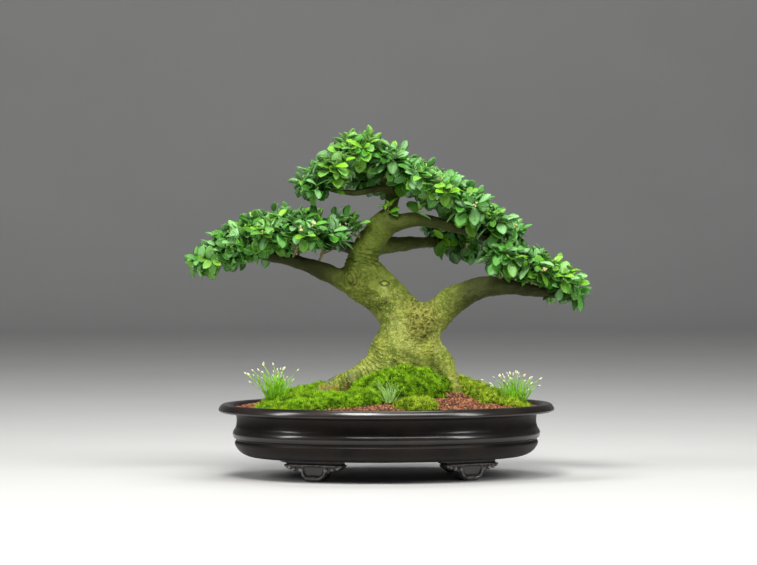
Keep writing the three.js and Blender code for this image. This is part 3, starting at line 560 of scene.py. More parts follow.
class Draws:
    """Repeatable random numbers from 0 to 1, the same as in the part's source."""

    def __init__(self, seed):
        self.state = seed & 0xFFFFFFFF

    def __call__(self):
        def product(a, b):
            return (a * b) & 0xFFFFFFFF

        self.state = (self.state + 0x6D2B79F5) & 0xFFFFFFFF
        mixed = product(self.state ^ (self.state >> 15), self.state | 1)
        mixed = ((mixed + product(mixed ^ (mixed >> 7), mixed | 61)) & 0xFFFFFFFF) ^ mixed
        return (mixed ^ (mixed >> 14)) / 4294967296


def noise_of(points, scale, seed=0.0, octaves=3):
    """Smooth noise from about -1 to 1 at each millimetre point, with features about `scale` wide."""
    shift = Vector((seed * 17.3, seed * 5.1, seed * 9.7))
    return np.array(
        [noise.fractal(Vector(p) / scale + shift, 0.9, 2.0, octaves) for p in np.asarray(points).tolist()]
    )


# Node trees


def new_tree(name, kind, inputs, outputs):
    """An empty node tree; each input is a name, a kind of value and, where it has one, a default."""
    tree = bpy.data.node_groups.new(name, kind + "NodeTree")
    for label, value, *default in inputs:
        socket = tree.interface.new_socket(name=label, in_out="INPUT", socket_type="NodeSocket" + value)
        if default:
            socket.default_value = default[0]
    for label, value in outputs:
        tree.interface.new_socket(name=label, in_out="OUTPUT", socket_type="NodeSocket" + value)
    return tree


def full_colour(value):
    """A colour as a socket takes it: a link stays as it is, three numbers get an alpha of 1."""
    return value if isinstance(value, bpy.types.NodeSocket) else (*value, 1.0)


def toned(value, factor):
    """A colour made darker or lighter."""
    return [min(1, factor * channel) for channel in value]


class Wiring:
    """Short ways to place nodes in a tree and to link them."""

    def __init__(self, tree):
        self.tree = tree

    def node(self, kind, settings=None, **inputs):
        made = self.tree.nodes.new(kind)
        for key, value in (settings or {}).items():
            setattr(made, key, value)
        for key, value in inputs.items():
            self.feed(made, key.replace("_", " "), value)
        return made

    def result(self, kind, settings=None, **inputs):
        """The first output of a new node."""
        return self.node(kind, settings, **inputs).outputs[0]

    def feed(self, node, socket, value):
        target = node.inputs[int(socket[1:])] if socket[0] == "#" else node.inputs[socket]
        if isinstance(value, bpy.types.NodeSocket):
            self.tree.links.new(value, target)
        elif value is not None:
            target.default_value = value

    def math(self, operation, a, b=None, clamp=False):
        made = self.node("ShaderNodeMath", {"operation": operation, "use_clamp": clamp})
        self.feed(made, "#0", a)
        if b is not None:
            self.feed(made, "#1", b)
        return made.outputs[0]

    def plus(self, a, b):
        return self.math("ADD", a, b)

    def minus(self, a, b):
        return self.math("SUBTRACT", a, b)

    def times(self, a, b):
        return self.math("MULTIPLY", a, b)

    def most(self, a, b):
        return self.math("MAXIMUM", a, b)

    def spread(self, value, low, high, new_low=0.0, new_high=1.0):
        """A value brought from one range to another."""
        made = self.node("ShaderNodeMapRange")
        for index, item in enumerate((value, low, high, new_low, new_high)):
            self.feed(made, f"#{index}", item)
        return made.outputs[0]

    def mix(self, share, first, second):
        made = self.node("ShaderNodeMix", {"data_type": "RGBA"})
        self.feed(made, "#0", share)
        self.feed(made, "#6", full_colour(first))
        self.feed(made, "#7", full_colour(second))
        return made.outputs[2]


def mottle_group():
    """Two colours mixed by soft noise."""
    name = "Soft Mottle"
    if name in bpy.data.node_groups:
        return bpy.data.node_groups[name]
    inputs = [
        ("Vector", "Vector"), ("Low Color", "Color"), ("High Color", "Color"), ("Scale", "Float", 100.0),
        ("Detail", "Float", 3.0), ("Low", "Float", 0.35), ("High", "Float", 0.65),
    ]
    tree = new_tree(name, "Shader", inputs, [("Color", "Color"), ("Mask", "Float")])
    wire = Wiring(tree)
    given = wire.node("NodeGroupInput").outputs
    clouds = wire.node("ShaderNodeTexNoise", Vector=given["Vector"], Scale=given["Scale"])
    wire.feed(clouds, "Detail", given["Detail"])
    mask = wire.spread(clouds.outputs[0], given["Low"], given["High"])
    mixed = wire.mix(mask, given["Low Color"], given["High Color"])
    wire.node("NodeGroupOutput", Color=mixed, Mask=mask)
    return tree


def grain_group():
    """Height of a rough surface: coarse noise with fine noise on it."""
    name = "Rough Grain"
    if name in bpy.data.node_groups:
        return bpy.data.node_groups[name]
    inputs = [
        ("Vector", "Vector"), ("Coarse Scale", "Float", 200.0), ("Fine Scale", "Float", 900.0),
        ("Fine Share", "Float", 0.4),
    ]
    tree = new_tree(name, "Shader", inputs, [("Height", "Float")])
    wire = Wiring(tree)
    given = wire.node("NodeGroupInput").outputs
    place = given["Vector"]
    coarse = wire.result("ShaderNodeTexNoise", Vector=place, Scale=given["Coarse Scale"], Detail=4.0)
    fine = wire.result("ShaderNodeTexNoise", Vector=place, Scale=given["Fine Scale"], Detail=2.0)
    wire.node("NodeGroupOutput", Height=wire.plus(coarse, wire.times(fine, given["Fine Share"])))
    return tree


class Look(Wiring):
    """A material with a Principled shader, its object coordinates and the shared groups."""

    def __init__(self, name, roughness, **shader):
        self.material = bpy.data.materials.new(name)
        self.material.use_nodes = True
        super().__init__(self.material.node_tree)
        self.shader = next(n for n in self.tree.nodes if n.type == "BSDF_PRINCIPLED")
        self.shader.inputs["Roughness"].default_value = roughness
        for key, value in shader.items():
            self.shader.inputs[key.replace("_", " ")].default_value = value
        self.place = self.node("ShaderNodeTexCoord").outputs["Object"]

    def mottle(self, low, high, scale, detail=3.0, edges=(0.35, 0.65)):
        """Two colours mixed by soft noise, and the noise; the edges are where it starts and ends."""
        made = self.node(
            "ShaderNodeGroup", {"node_tree": mottle_group()}, Vector=self.place, Low_Color=full_colour(low),
            High_Color=full_colour(high), Scale=scale, Detail=detail, Low=edges[0], High=edges[1],
        )
        return made.outputs["Color"], made.outputs["Mask"]

    def patches(self, scale, detail, edges):
        """Soft noise from 0 to 1."""
        return self.mottle((0, 0, 0), (1, 1, 1), scale, detail, edges)[1]

    def noise(self, scale, detail, distortion=0.0):
        inputs = {"Vector": self.place, "Scale": scale, "Detail": detail, "Distortion": distortion}
        return self.result("ShaderNodeTexNoise", **inputs)

    def height(self):
        """Metres over the plane that the pot stands on."""
        return self.node("ShaderNodeSeparateXYZ", Vector=self.place).outputs[2]

    def relief(self, coarse, fine, share, distance, strength=1.0, extra=None):
        """A rough surface from two sizes of grain, with any extra height on top."""
        height = self.result(
            "ShaderNodeGroup", {"node_tree": grain_group()}, Vector=self.place, Coarse_Scale=coarse,
            Fine_Scale=fine, Fine_Share=share,
        )
        if extra is not None:
            height = self.plus(height, extra)
        bump = self.result("ShaderNodeBump", Height=height, Strength=strength, Distance=distance)
        self.feed(self.shader, "Normal", bump)

    def attribute(self, name):
        return self.node("ShaderNodeAttribute", {"attribute_name": name}).outputs["Fac"]

    def paint(self, value):
        self.feed(self.shader, "Base Color", value)

    def rough(self, value, low, high):
        self.feed(self.shader, "Roughness", self.spread(value, 0.0, 1.0, low, high))


def mottled_material(name, roughness, low, high, mottle, relief, specular=0.5):
    """A material of two mottled colours with a fine relief."""
    look = Look(name, roughness, Specular_IOR_Level=specular)
    look.paint(look.mottle(low, high, *mottle)[0])
    look.relief(*relief)
    return look.material


# Pot


def oval(points):
    """Turns round sections into the pot's oval, with walls of even thickness."""
    points = np.array(points, float)
    radius = np.maximum(np.hypot(points[:, 0], points[:, 1]), 1e-9)
    points[:, 1] *= np.maximum(radius - OVAL_DIFFERENCE, radius * 0.5) / radius
    return points


def turned(profile, sides):
    """A closed shell of an oval section from radius and height pairs; both ends lie on the axis."""
    turns = np.linspace(0, 2 * math.pi, sides, endpoint=False)
    rings = []
    for radius, height in profile[1:-1]:
        ring = np.column_stack([radius * np.cos(turns), radius * np.sin(turns), np.full(sides, height)])
        rings.append(oval(ring))
    return shell(rings)


def glaze_material(pot):
    """Dark glaze that shines on the rim and the upper band; the feet are lighter, as worn glaze and as
    painted light against the shade under the pot, and worn pale to the front with painted glints.
    """
    look = Look("Dark Glazed Clay", 0.42, Specular_IOR_Level=0.15, Coat_Roughness=0.19)
    base, mask = look.mottle(pot.glaze_dark, pot.glaze_warm, 26.0, 5.0, (0.32, 0.7))
    speckled, _ = look.mottle(base, (0.035, 0.026, 0.021), 620.0, 2.0, (0.66, 0.78))
    height = look.height()
    # The feet get a lighter glaze: worn glaze, and painted light against the shade under the pot.
    feet = look.spread(height, 0.021, 0.0248, 1.0, 0.0)
    feet_worn_and_lit = look.mix(look.times(feet, 0.7), speckled, pot.glaze_worn_and_lit)
    # Painted glints and wear: the foremost knobs and lips of the feet are painted pale in patches.
    rubbed = look.times(look.attribute("rubbed"), look.patches(330.0, 2.0, (0.3, 0.6)))
    look.paint(look.mix(rubbed, feet_worn_and_lit, pot.glaze_rubbed_and_glinting))
    rim = look.spread(height, 0.077, 0.0795)
    band = look.times(look.spread(height, 0.044, 0.051), look.spread(height, 0.058, 0.062, 1.0, 0.0))
    look.feed(look.shader, "Coat Weight", look.most(look.most(rim, band), feet))
    look.rough(mask, 0.36, 0.5)
    look.relief(38.0, 520.0, 0.1, 0.00012, 0.5)
    return look.material


def foot_parts():
    """Shells of one bracket foot; its front faces -Y at y = 0 and it rests on z = 0."""
    cheek = [(-17, 13), (-15.6, 8), (-12.6, 3.2), (-8, 0.25)]
    tongue = [(-17, 20), *map(tuple, spline(cheek, 5))]
    tongue += [(-x, z) for x, z in reversed(tongue)]
    scallops = [
        (-35.4, 17.2), (-32.6, 15.2), (-29.8, 13.6), (-26.6, 14.2), (-24.2, 11.9), (-21.4, 12.4),
        (-18.6, 10.2), (-15, 11),
    ]
    wing = [(-36.5, 19.6), *map(tuple, spline(scallops, 5)), (-15, 20)]
    half_lip = [(-13.6, 2.2, 18.2), (-13.9, 2, 13), (-12.2, 1.9, 7.2), (-7.2, 2, 3.6)]
    other_half = [(-x, y, z) for x, y, z in reversed(half_lip)]
    lip = spline([*half_lip, (0, 2.1, 2.8), *other_half], 6)
    bead = spline([(-36, 1.7, 19), (0, 1.3, 19.1), (36, 1.7, 19)], 14)
    parts = [
        extruded(tongue, 2.6, 17.5),
        extruded(wing, 1.6, 17),
        extruded([(-x, z) for x, z in reversed(wing)], 1.6, 17),
        extruded([(-34, 18.5), (34, 18.5), (34, 26.5), (-34, 26.5)], 3.4, 16.5),
        tube(lip, np.full(len(lip), 1.9), 12),
        tube(bead, np.full(len(bead), 1.25), 10),
        ellipsoid((0, 2.2, 4.9), (9.5, 1.9, 1.5)),
    ]
    for side in (-1, 1):
        for x, z, radius in FOOT_KNOBS:
            parts.append(ellipsoid((side * x, 1.1, z), (radius, radius, radius)))
            parts.append(tube([(side * x, 1.8, z), (side * x, 16.5, z)], [radius, radius], 12))
    return parts


def rubbed_and_glinting_places(points):
    """How far each point of the feet stands out to the front of its foot: 1 is worn pale and carries a
    painted glint.
    """
    x, y = np.sign(points[:, 0]), np.sign(points[:, 1])
    angle = x * -y * FOOT_TURN + np.where(y > 0, math.pi, 0)
    dx, dy = points[:, 0] - x * FOOT_CENTRE[0], points[:, 1] - y * FOOT_CENTRE[1]
    depth = dy * np.cos(angle) - dx * np.sin(angle)
    return np.clip((0.9 - depth) / 1.1, 0, 1) ** 1.5 * (points[:, 2] < 22)


def make_pot(settings):
    profile = [*map(tuple, spline(POT_OUTSIDE, 3)), *map(tuple, spline(POT_INSIDE, 3))]
    body = closed_object("pot_body", *turned(profile, 208))
    drains = closed_object("drains", *gathered(
        [tube([(side * DRAIN_X, 0, 15), (side * DRAIN_X, 0, 42)], [DRAIN_RADIUS] * 2, 48) for side in (-1, 1)]
    ))
    drilled = body.modifiers.new("Drains", "BOOLEAN")
    drilled.object = drains
    drilled.operation = "DIFFERENCE"
    drilled.solver = "EXACT"
    pieces = [plain_mesh(body, "pot_body")]
    bpy.data.objects.remove(drains)
    model = remeshed(closed_object("foot", *gathered(foot_parts())), "foot", settings.foot_voxel, 1)
    for turn, x, y in ((-1, -1, -1), (1, 1, -1), (-1, 1, 1), (1, -1, 1)):
        angle = turn * FOOT_TURN + (math.pi if y > 0 else 0)
        place = Matrix.Translation((x * FOOT_CENTRE[0] * MM, y * FOOT_CENTRE[1] * MM, 0))
        mesh = model.data.copy()
        mesh.transform(place @ Matrix.Rotation(angle, 4, "Z"))
        pieces.append(linked("foot", mesh))
    bpy.data.objects.remove(model)
    pot = joined("oval_pot", pieces)
    add_attribute(pot.data, "rubbed", "FLOAT", "POINT", rubbed_and_glinting_places(vertices_of(pot.data)))
    pot.data.materials.append(glaze_material(settings))
    finished(pot, ["pot"])


def bar_tree():
    """Rows of crossing bars: a square of screen."""
    inputs = [
        ("Geometry", "Geometry"), ("Side", "Float", 0.038), ("Pitch", "Float", 0.004),
        ("Bar", "Float", 0.0011), ("Material", "Material"),
    ]
    tree = new_tree("Crossing Bars", "Geometry", inputs, [("Geometry", "Geometry")])
    wire = Wiring(tree)
    given = wire.node("NodeGroupInput").outputs
    count = wire.plus(wire.math("FLOOR", wire.math("DIVIDE", given["Side"], given["Pitch"])), 1.0)
    half = wire.times(wire.times(wire.minus(count, 1.0), given["Pitch"]), -0.5)
    merged = wire.node("GeometryNodeJoinGeometry")
    for along, across in (("X", "Y"), ("Y", "X")):
        start = wire.result("ShaderNodeCombineXYZ", **{along: half})
        step = wire.result("ShaderNodeCombineXYZ", **{along: given["Pitch"]})
        sides = {along: given["Bar"], across: given["Side"], "Z": given["Bar"]}
        size = wire.result("ShaderNodeCombineXYZ", **sides)
        line = wire.result("GeometryNodeMeshLine", Count=count, Start_Location=start, Offset=step)
        bar = wire.result("GeometryNodeMeshCube", Size=size)
        wire.feed(merged, "Geometry", wire.result("GeometryNodeInstanceOnPoints", Points=line, Instance=bar))
    real = wire.result("GeometryNodeRealizeInstances", Geometry=merged.outputs[0])
    dressed = wire.result("GeometryNodeSetMaterial", Geometry=real, Material=given["Material"])
    wire.node("NodeGroupOutput", Geometry=dressed)
    return tree


def set_inputs(modifier, tree, **values):
    """Sets a modifier's inputs by the identifiers of the sockets with these names."""
    sockets = {s.name: s.identifier for s in tree.interface.items_tree if s.in_out == "INPUT"}
    for name, value in values.items():
        modifier[sockets[name.replace("_", " ")]] = value


def make_screens(settings):
    black = mottled_material(
        "Black Plastic Mesh", 0.55, (0.012, 0.012, 0.013), (0.032, 0.031, 0.03), (260.0,),
        (400.0, 1500.0, 0.3, 0.0001, 0.5),
    )
    tree = bar_tree()
    for name, side in (("drain_screen_left", -1), ("drain_screen_right", 1)):
        piece = mesh_object(name + "_mesh", [(0, 0, 0)], [])
        rows = piece.modifiers.new("Bars", "NODES")
        rows.node_group = tree
        set_inputs(rows, tree, Pitch=settings.screen_pitch, Bar=settings.screen_bar, Material=black)
        piece = plain_mesh(piece, name + "_mesh")
        piece.data.transform(Matrix.Translation((side * DRAIN_X * MM, 0, (FLOOR_TOP + SCREEN_LIFT) * MM)))
        finished(piece, [name], smooth=False)


# Ground


def soil_share(x, y):
    """How far out a place lies in the soil's oval: 1 is its edge."""
    return np.hypot(x / (RIM - SOIL_LIP), y / (RIM - OVAL_DIFFERENCE - SOIL_LIP))


def soil_height(x, y):
    share = np.minimum(1, soil_share(x, y))
    dome = SOIL_DOME * np.power(1 - share * share, 1.3)
    reach = ((x - MOUND["x"]) / MOUND["reach_x"]) ** 2 + ((y - MOUND["y"]) / MOUND["reach_y"]) ** 2
    return SOIL_EDGE + dome + MOUND["height"] * np.exp(-reach)


def moss_place(rule, x, y):
    """How far out a place lies in a cushion: 1 is its mean edge."""
    angle = math.radians(rule["turn"])
    dx, dy = x - rule["x"], y - rule["y"]
    along = (dx * math.cos(angle) + dy * math.sin(angle)) / rule["half"][0]
    across = (dy * math.cos(angle) - dx * math.sin(angle)) / rule["half"][1]
    return np.hypot(along, across)


def pile_tree():
    """Small copies of one shape that stand on a surface where its attribute `cover` allows."""
    name = "Standing Pile"
    if name in bpy.data.node_groups:
        return bpy.data.node_groups[name]
    inputs = [
        ("Geometry", "Geometry"), ("Shape", "Object"), ("Spacing", "Float", 0.002), ("Size", "Float", 1.0),
        ("Size Spread", "Float", 0.3), ("Lean", "Float", 0.4), ("Seed", "Int", 1),
        ("Base Material", "Material"), ("Shape Material", "Material"),
    ]
    tree = new_tree(name, "Geometry", inputs, [("Geometry", "Geometry")])
    wire = Wiring(tree)
    given = wire.node("NodeGroupInput").outputs
    cover = wire.result("GeometryNodeInputNamedAttribute", {"data_type": "FLOAT"}, Name="cover")
    seed, lean = given["Seed"], given["Lean"]
    spots = wire.node(
        "GeometryNodeDistributePointsOnFaces", {"distribute_method": "POISSON"}, Mesh=given["Geometry"],
        Distance_Min=given["Spacing"], Density_Factor=cover, Seed=seed,
        Density_Max=wire.math("DIVIDE", 3.0, wire.times(given["Spacing"], given["Spacing"])),
    )
    back = wire.times(lean, -1.0)
    wobble = wire.node("FunctionNodeRandomValue", {"data_type": "FLOAT_VECTOR"}, Seed=seed)
    wire.feed(wobble, "#0", wire.result("ShaderNodeCombineXYZ", X=back, Y=back))
    wire.feed(wobble, "#1", wire.result("ShaderNodeCombineXYZ", X=lean, Y=lean, Z=2 * math.pi))
    turn = wire.result(
        "FunctionNodeRotateRotation", {"rotation_space": "LOCAL"}, Rotation=spots.outputs["Rotation"],
        Rotate_By=wire.result("FunctionNodeEulerToRotation", Euler=wobble.outputs[0]),
    )
    sizes = wire.node("FunctionNodeRandomValue", {"data_type": "FLOAT_VECTOR"}, Seed=wire.plus(seed, 7.0))
    smallest = wire.times(given["Size"], wire.minus(1.0, given["Size Spread"]))
    largest = wire.times(given["Size"], wire.plus(1.0, given["Size Spread"]))
    for index, value in enumerate((smallest, largest)):
        wire.feed(sizes, f"#{index}", wire.result("ShaderNodeCombineXYZ", X=value, Y=value, Z=value))
    shape = wire.node("GeometryNodeObjectInfo", Object=given["Shape"]).outputs["Geometry"]
    copies = wire.result(
        "GeometryNodeInstanceOnPoints", Points=spots.outputs["Points"], Instance=shape, Rotation=turn,
        Scale=sizes.outputs[0],
    )
    tint = wire.node("FunctionNodeRandomValue", {"data_type": "FLOAT"}, Seed=wire.plus(seed, 13.0))
    stored = wire.result(
        "GeometryNodeStoreNamedAttribute", {"data_type": "FLOAT", "domain": "INSTANCE"}, Geometry=copies,
        Name="tint", Value=tint.outputs[1],
    )
    real = wire.result("GeometryNodeRealizeInstances", Geometry=stored)
    merged = wire.node("GeometryNodeJoinGeometry")
    for skin, material in ((given["Geometry"], "Base Material"), (real, "Shape Material")):
        dressed = wire.result("GeometryNodeSetMaterial", Geometry=skin, Material=given[material])
        wire.feed(merged, "Geometry", dressed)
    wire.node("NodeGroupOutput", Geometry=merged.outputs[0])
    return tree


def template(name, points, faces):
    """A small mesh that a node tree copies; it isn't in the scene."""
    made = closed_object(name, points, faces)
    set_smooth(made.data)
    bpy.context.scene.collection.objects.unlink(made)
    return made


def covered(piece, name, **values):
    """The piece with small copies standing on it, under a new name."""
    pile = piece.modifiers.new("Pile", "NODES")
    pile.node_group = pile_tree()
    set_inputs(pile, pile.node_group, **values)
    return plain_mesh(piece, name)


def granule_shape():
    """A lump of baked clay, 1 mm across."""

    def placed(corner):
        unit = corner.normalized()
        dented = unit * (0.55 + 0.16 * noise.noise(unit * 1.7 + Vector((3, 1, 2))))
        dented.z *= 0.82
        return dented

    return template("granule", *ball(1, placed))


def clay_materials(ground):
    loam = mottled_material(
        "Damp Loam", 0.95, (0.022, 0.012, 0.008), (0.075, 0.03, 0.018), (420.0, 4.0),
        (700.0, 2200.0, 0.5, 0.0006, 1.0),
    )
    clay = Look("Baked Clay Granules", 0.92)
    base, _ = clay.mottle(ground.granule_dark, ground.granule_light, 900.0, 3.0, (0.3, 0.72))
    tint = clay.attribute("tint")
    darker = clay.mix(clay.spread(tint, 0.0, 0.45, 0.75, 0.0), base, (0.045, 0.016, 0.011))
    clay.paint(clay.mix(clay.spread(tint, 0.6, 1.0, 0.0, 0.8), darker, (0.55, 0.25, 0.12)))
    clay.relief(1500.0, 5200.0, 0.5, 0.00025, 0.9)
    return loam, clay.material


def make_soil(ground):
    sides, rings = 128, 46
    turns = np.linspace(0, 2 * math.pi, sides, endpoint=False)
    below = [(181, 77.4), (172, 68.8), (171.2, 60), (169.4, 43.3), (165.4, 36.2), (155.4, 33.4)]
    loops = []
    for radius, height in [*((r, None) for r in np.linspace(4, RIM - SOIL_LIP - 0.8, rings)), *below]:
        ring = oval(np.column_stack([radius * np.cos(turns), radius * np.sin(turns), np.zeros(sides)]))
        if height is None:
            height = soil_height(ring[:, 0], ring[:, 1]) + 0.7 * noise_of(ring, 14.0, 2.0, 4)
        ring[:, 2] = height
        loops.append(ring)
    points, faces = shell(loops)
    body = closed_object("soil", points, faces)
    x, y = points[:, 0], points[:, 1]
    on_top = np.zeros(len(points), bool)
    on_top[: rings * sides] = True
    on_top[-2] = True
    bare = on_top & (soil_share(x, y) < GRANULE_EDGE)
    for rule in [lump for lumps in MOSS.values() for lump in lumps]:
        bare &= moss_place(rule, x, y) > 0.86
    trunk_x, trunk_y, _, trunk_radius = WOOD["trunk"][0]
    bare &= np.hypot(x - trunk_x, y - trunk_y) > trunk_radius
    add_attribute(body.data, "cover", "FLOAT", "POINT", bare)
    shape = granule_shape()
    loam, clay = clay_materials(ground)
    soil = covered(
        body, "planting_soil", Shape=shape, Base_Material=loam, Shape_Material=clay, Seed=5,
        Spacing=ground.granule * 0.86, Size=ground.granule / MM, Size_Spread=0.32, Lean=1.2,
    )
    bpy.data.objects.remove(shape)
    finished(soil, ["soil"])


def sprig_shape():
    """A sprig of moss: narrow pointed leaflets in two whorls, 1 mm high."""
    points, faces = [], []
    for index in range(8):
        inner = index < 3
        lean, height, wide = (0.3, 1.0, 0.13) if inner else (0.78, 0.62, 0.17)
        turn = index * GOLDEN_ANGLE
        tip = np.array([lean * math.cos(turn), lean * math.sin(turn), height])
        root = tip * (0.12, 0.12, 0) + (0, 0, -0.1)
        start = len(points)
        for corner in range(3):
            around = turn + corner * 2 * math.pi / 3
            points.append(root + (wide * math.cos(around), wide * math.sin(around), 0))
        points.append(tip)
        faces += [(start + k, start + (k + 1) % 3, start + 3) for k in range(3)]
        faces.append((start + 2, start + 1, start))
    return template("sprig", points, faces)


def lump(rule):
    """A low dome that follows the soil, closed below it."""
    sides, rings = 64, 14
    angle = math.radians(rule["turn"])
    cosine, sine = math.cos(angle), math.sin(angle)
    turns = np.linspace(0, 2 * math.pi, sides, endpoint=False)
    ripple = 1 + 0.09 * np.sin(3 * turns + rule["x"]) + 0.08 * np.sin(7 * turns + rule["y"])
    ripple += 0.07 * np.sin(13 * turns + rule["x"] * rule["y"])
    loops = []
    for level in [*np.linspace(0.03, 1, rings), *np.linspace(0.94, 0.1, 5)]:
        a = level * rule["half"][0] * ripple * np.cos(turns)
        b = level * rule["half"][1] * ripple * np.sin(turns)
        x, y = rule["x"] + a * cosine - b * sine, rule["y"] + a * sine + b * cosine
        share = soil_share(x, y)
        pull = np.minimum(1, MOSS_EDGE / share)
        x, y = x * pull, y * pull
        height = soil_height(x, y)
        if len(loops) < rings:
            rise = math.sqrt(max(0.0, 1 - level**2)) ** 0.9
            swell = 1 + 0.13 * np.sin(x / 6.1 + y / 11) * np.cos(y / 5.3 - x / 13)
            edge = np.clip((MOSS_EDGE + 0.01 - share) / 0.1, 0, 1) ** 0.5
            height += rule["height"] * rise * swell * edge - 0.6
        else:
            height -= 5
        loops.append(np.column_stack([x, y, height]))
    return shell(loops)


def cushion(name, lumps, detail):
    """One skin over the lumps of a cushion, with smaller hummocks on it."""
    raw = closed_object(name + "_raw", *gathered([lump(rule) for rule in lumps]))
    made = remeshed(raw, name, detail, 2)
    points = vertices_of(made.data)
    free = points[:, 2] - soil_height(points[:, 0], points[:, 1])
    share = np.clip(free / 5, 0, 1)
    points[:, 2] += share * (2.8 * noise_of(points, 13.0, 4.0, 2) + 1.4 * noise_of(points, 5.0, 6.0, 2))
    place_vertices(made.data, points)
    add_attribute(made.data, "cover", "FLOAT", "POINT", free > -0.8)
    return made


def moss_material(name, dark, light):
    look = Look(name, 0.9, Specular_IOR_Level=0.15)
    base, _ = look.mottle(dark, light, 150.0, 3.0, (0.3, 0.6))
    dry, _ = look.mottle(base, (0.36, 0.33, 0.03), 48.0, 2.0, (0.6, 0.85))
    tint = look.attribute("tint")
    shaded = look.mix(look.spread(tint, 0.0, 0.5, 0.85, 0.0), dry, toned(dark, 0.6))
    look.paint(look.mix(look.spread(tint, 0.55, 1.0, 0.0, 0.7), shaded, toned(light, 1.4)))
    look.relief(900.0, 3000.0, 0.6, 0.0005, 0.8)
    return look.material


def make_moss(ground):
    shape = sprig_shape()
    green = moss_material("Green Moss", ground.moss_dark, ground.moss_light)
    yellow = moss_material("Yellow Moss", ground.moss_dark, ground.moss_yellow)
    base = mottled_material(
        "Moss Base", 0.95, toned(ground.moss_dark, 0.5), ground.moss_dark, (400.0, 3.0),
        (900.0, 3000.0, 0.6, 0.0008, 1.0), 0.1,
    )
    for index, (name, lumps) in enumerate(MOSS.items()):
        piece = covered(
            cushion(name, lumps, ground.moss_detail), name + "_pile", Shape=shape, Base_Material=base,
            Shape_Material=yellow if name in ("moss_right", "moss_front") else green, Seed=20 + index,
            Spacing=ground.sprig_spacing, Size=ground.sprig / MM, Size_Spread=0.4, Lean=0.5,
        )
        finished(piece, [name])
    bpy.data.objects.remove(shape)


# Stalks with something at their ends: used for leafy sprays and for grass


KIND_STALK, KIND_BLADE, KIND_KNOB = 0, 1, 2
# What each point carries for the node tree
POINT_VALUES = {
    "kind": "INT", "radius": "FLOAT", "turn": "FLOAT_VECTOR", "size": "FLOAT_VECTOR", "youth": "FLOAT",
    "variation": "FLOAT",
}


def stalk_tree():
    """Stalks from edges, and two shapes placed on loose points."""
    name = "Stalks and Tips"
    if name in bpy.data.node_groups:
        return bpy.data.node_groups[name]
    inputs = [
        ("Geometry", "Geometry"), ("Blade", "Object"), ("Knob", "Object"), ("Stalk Sides", "Int", 5),
        ("Stalk Material", "Material"), ("Blade Material", "Material"), ("Knob Material", "Material"),
    ]
    tree = new_tree(name, "Geometry", inputs, [("Geometry", "Geometry")])
    wire = Wiring(tree)
    given = wire.node("NodeGroupInput").outputs

    def named(label):
        return wire.result("GeometryNodeInputNamedAttribute", {"data_type": POINT_VALUES[label]}, Name=label)

    def of_kind(number):
        same = wire.node("FunctionNodeCompare", {"data_type": "INT", "operation": "EQUAL"})
        wire.feed(same, "#2", named("kind"))
        wire.feed(same, "#3", number)
        return wire.result(
            "GeometryNodeSeparateGeometry", {"domain": "POINT"}, Geometry=given["Geometry"],
            Selection=same.outputs[0],
        )

    line = wire.result("GeometryNodeMeshToCurve", Mesh=of_kind(KIND_STALK))
    ring = wire.result("GeometryNodeCurvePrimitiveCircle", Resolution=given["Stalk Sides"], Radius=1.0)
    skin = wire.result(
        "GeometryNodeCurveToMesh", Curve=line, Profile_Curve=ring, Scale=named("radius"), Fill_Caps=True
    )
    merged = wire.node("GeometryNodeJoinGeometry")
    stalks = wire.result("GeometryNodeSetMaterial", Geometry=skin, Material=given["Stalk Material"])
    wire.feed(merged, "Geometry", stalks)
    for label, number in (("Blade", KIND_BLADE), ("Knob", KIND_KNOB)):
        copies = wire.result(
            "GeometryNodeInstanceOnPoints", Points=of_kind(number), Scale=named("size"),
            Instance=wire.node("GeometryNodeObjectInfo", Object=given[label]).outputs["Geometry"],
            Rotation=wire.result("FunctionNodeEulerToRotation", Euler=named("turn")),
        )
        real = wire.result("GeometryNodeRealizeInstances", Geometry=copies)
        dressed = wire.result("GeometryNodeSetMaterial", Geometry=real, Material=given[label + " Material"])
        wire.feed(merged, "Geometry", dressed)
    wire.node("NodeGroupOutput", Geometry=merged.outputs[0])
    return tree


class Skeleton:
    """Gathers the stalks and placed shapes of one piece, in millimetres."""

    def __init__(self):
        self.points, self.edges = [], []
        self.values = {label: [] for label in POINT_VALUES}

    def _point(self, place, kind, radius=0.0, turn=(0, 0, 0), size=(1, 1, 1), youth=0.0, variation=0.5):
        self.points.append(tuple(place))
        given = (kind, radius * MM, tuple(turn), tuple(size), youth, variation)
        for column, value in zip(self.values.values(), given):
            column.append(value)

    def stalk(self, path, radii, youth=0.0, variation=0.5):
        start = len(self.points)
        for place, radius in zip(path, radii):
            self._point(place, KIND_STALK, radius, youth=youth, variation=variation)
        self.edges += [(i, i + 1) for i in range(start, len(self.points) - 1)]

    def shape(self, kind, place, along, face, size, youth=0.0, variation=0.5):
        """A copy with its +X along one direction and its +Z towards another."""
        side = face.cross(along)
        turn = Matrix((along, side, face)).transposed().to_euler()
        self._point(place, kind, 0.0, turn, size, youth, variation)

    def piece(self, name, blade, knob, materials):
        made = mesh_object(name, self.points, [], self.edges)
        for label, kind in POINT_VALUES.items():
            add_attribute(made.data, label, kind, "POINT", self.values[label])
        build = made.modifiers.new("Stalks", "NODES")
        build.node_group = stalk_tree()
        set_inputs(
            build, build.node_group, Blade=blade, Knob=knob, Stalk_Material=materials[0],
            Blade_Material=materials[1], Knob_Material=materials[2],
        )
        return plain_mesh(made, name)


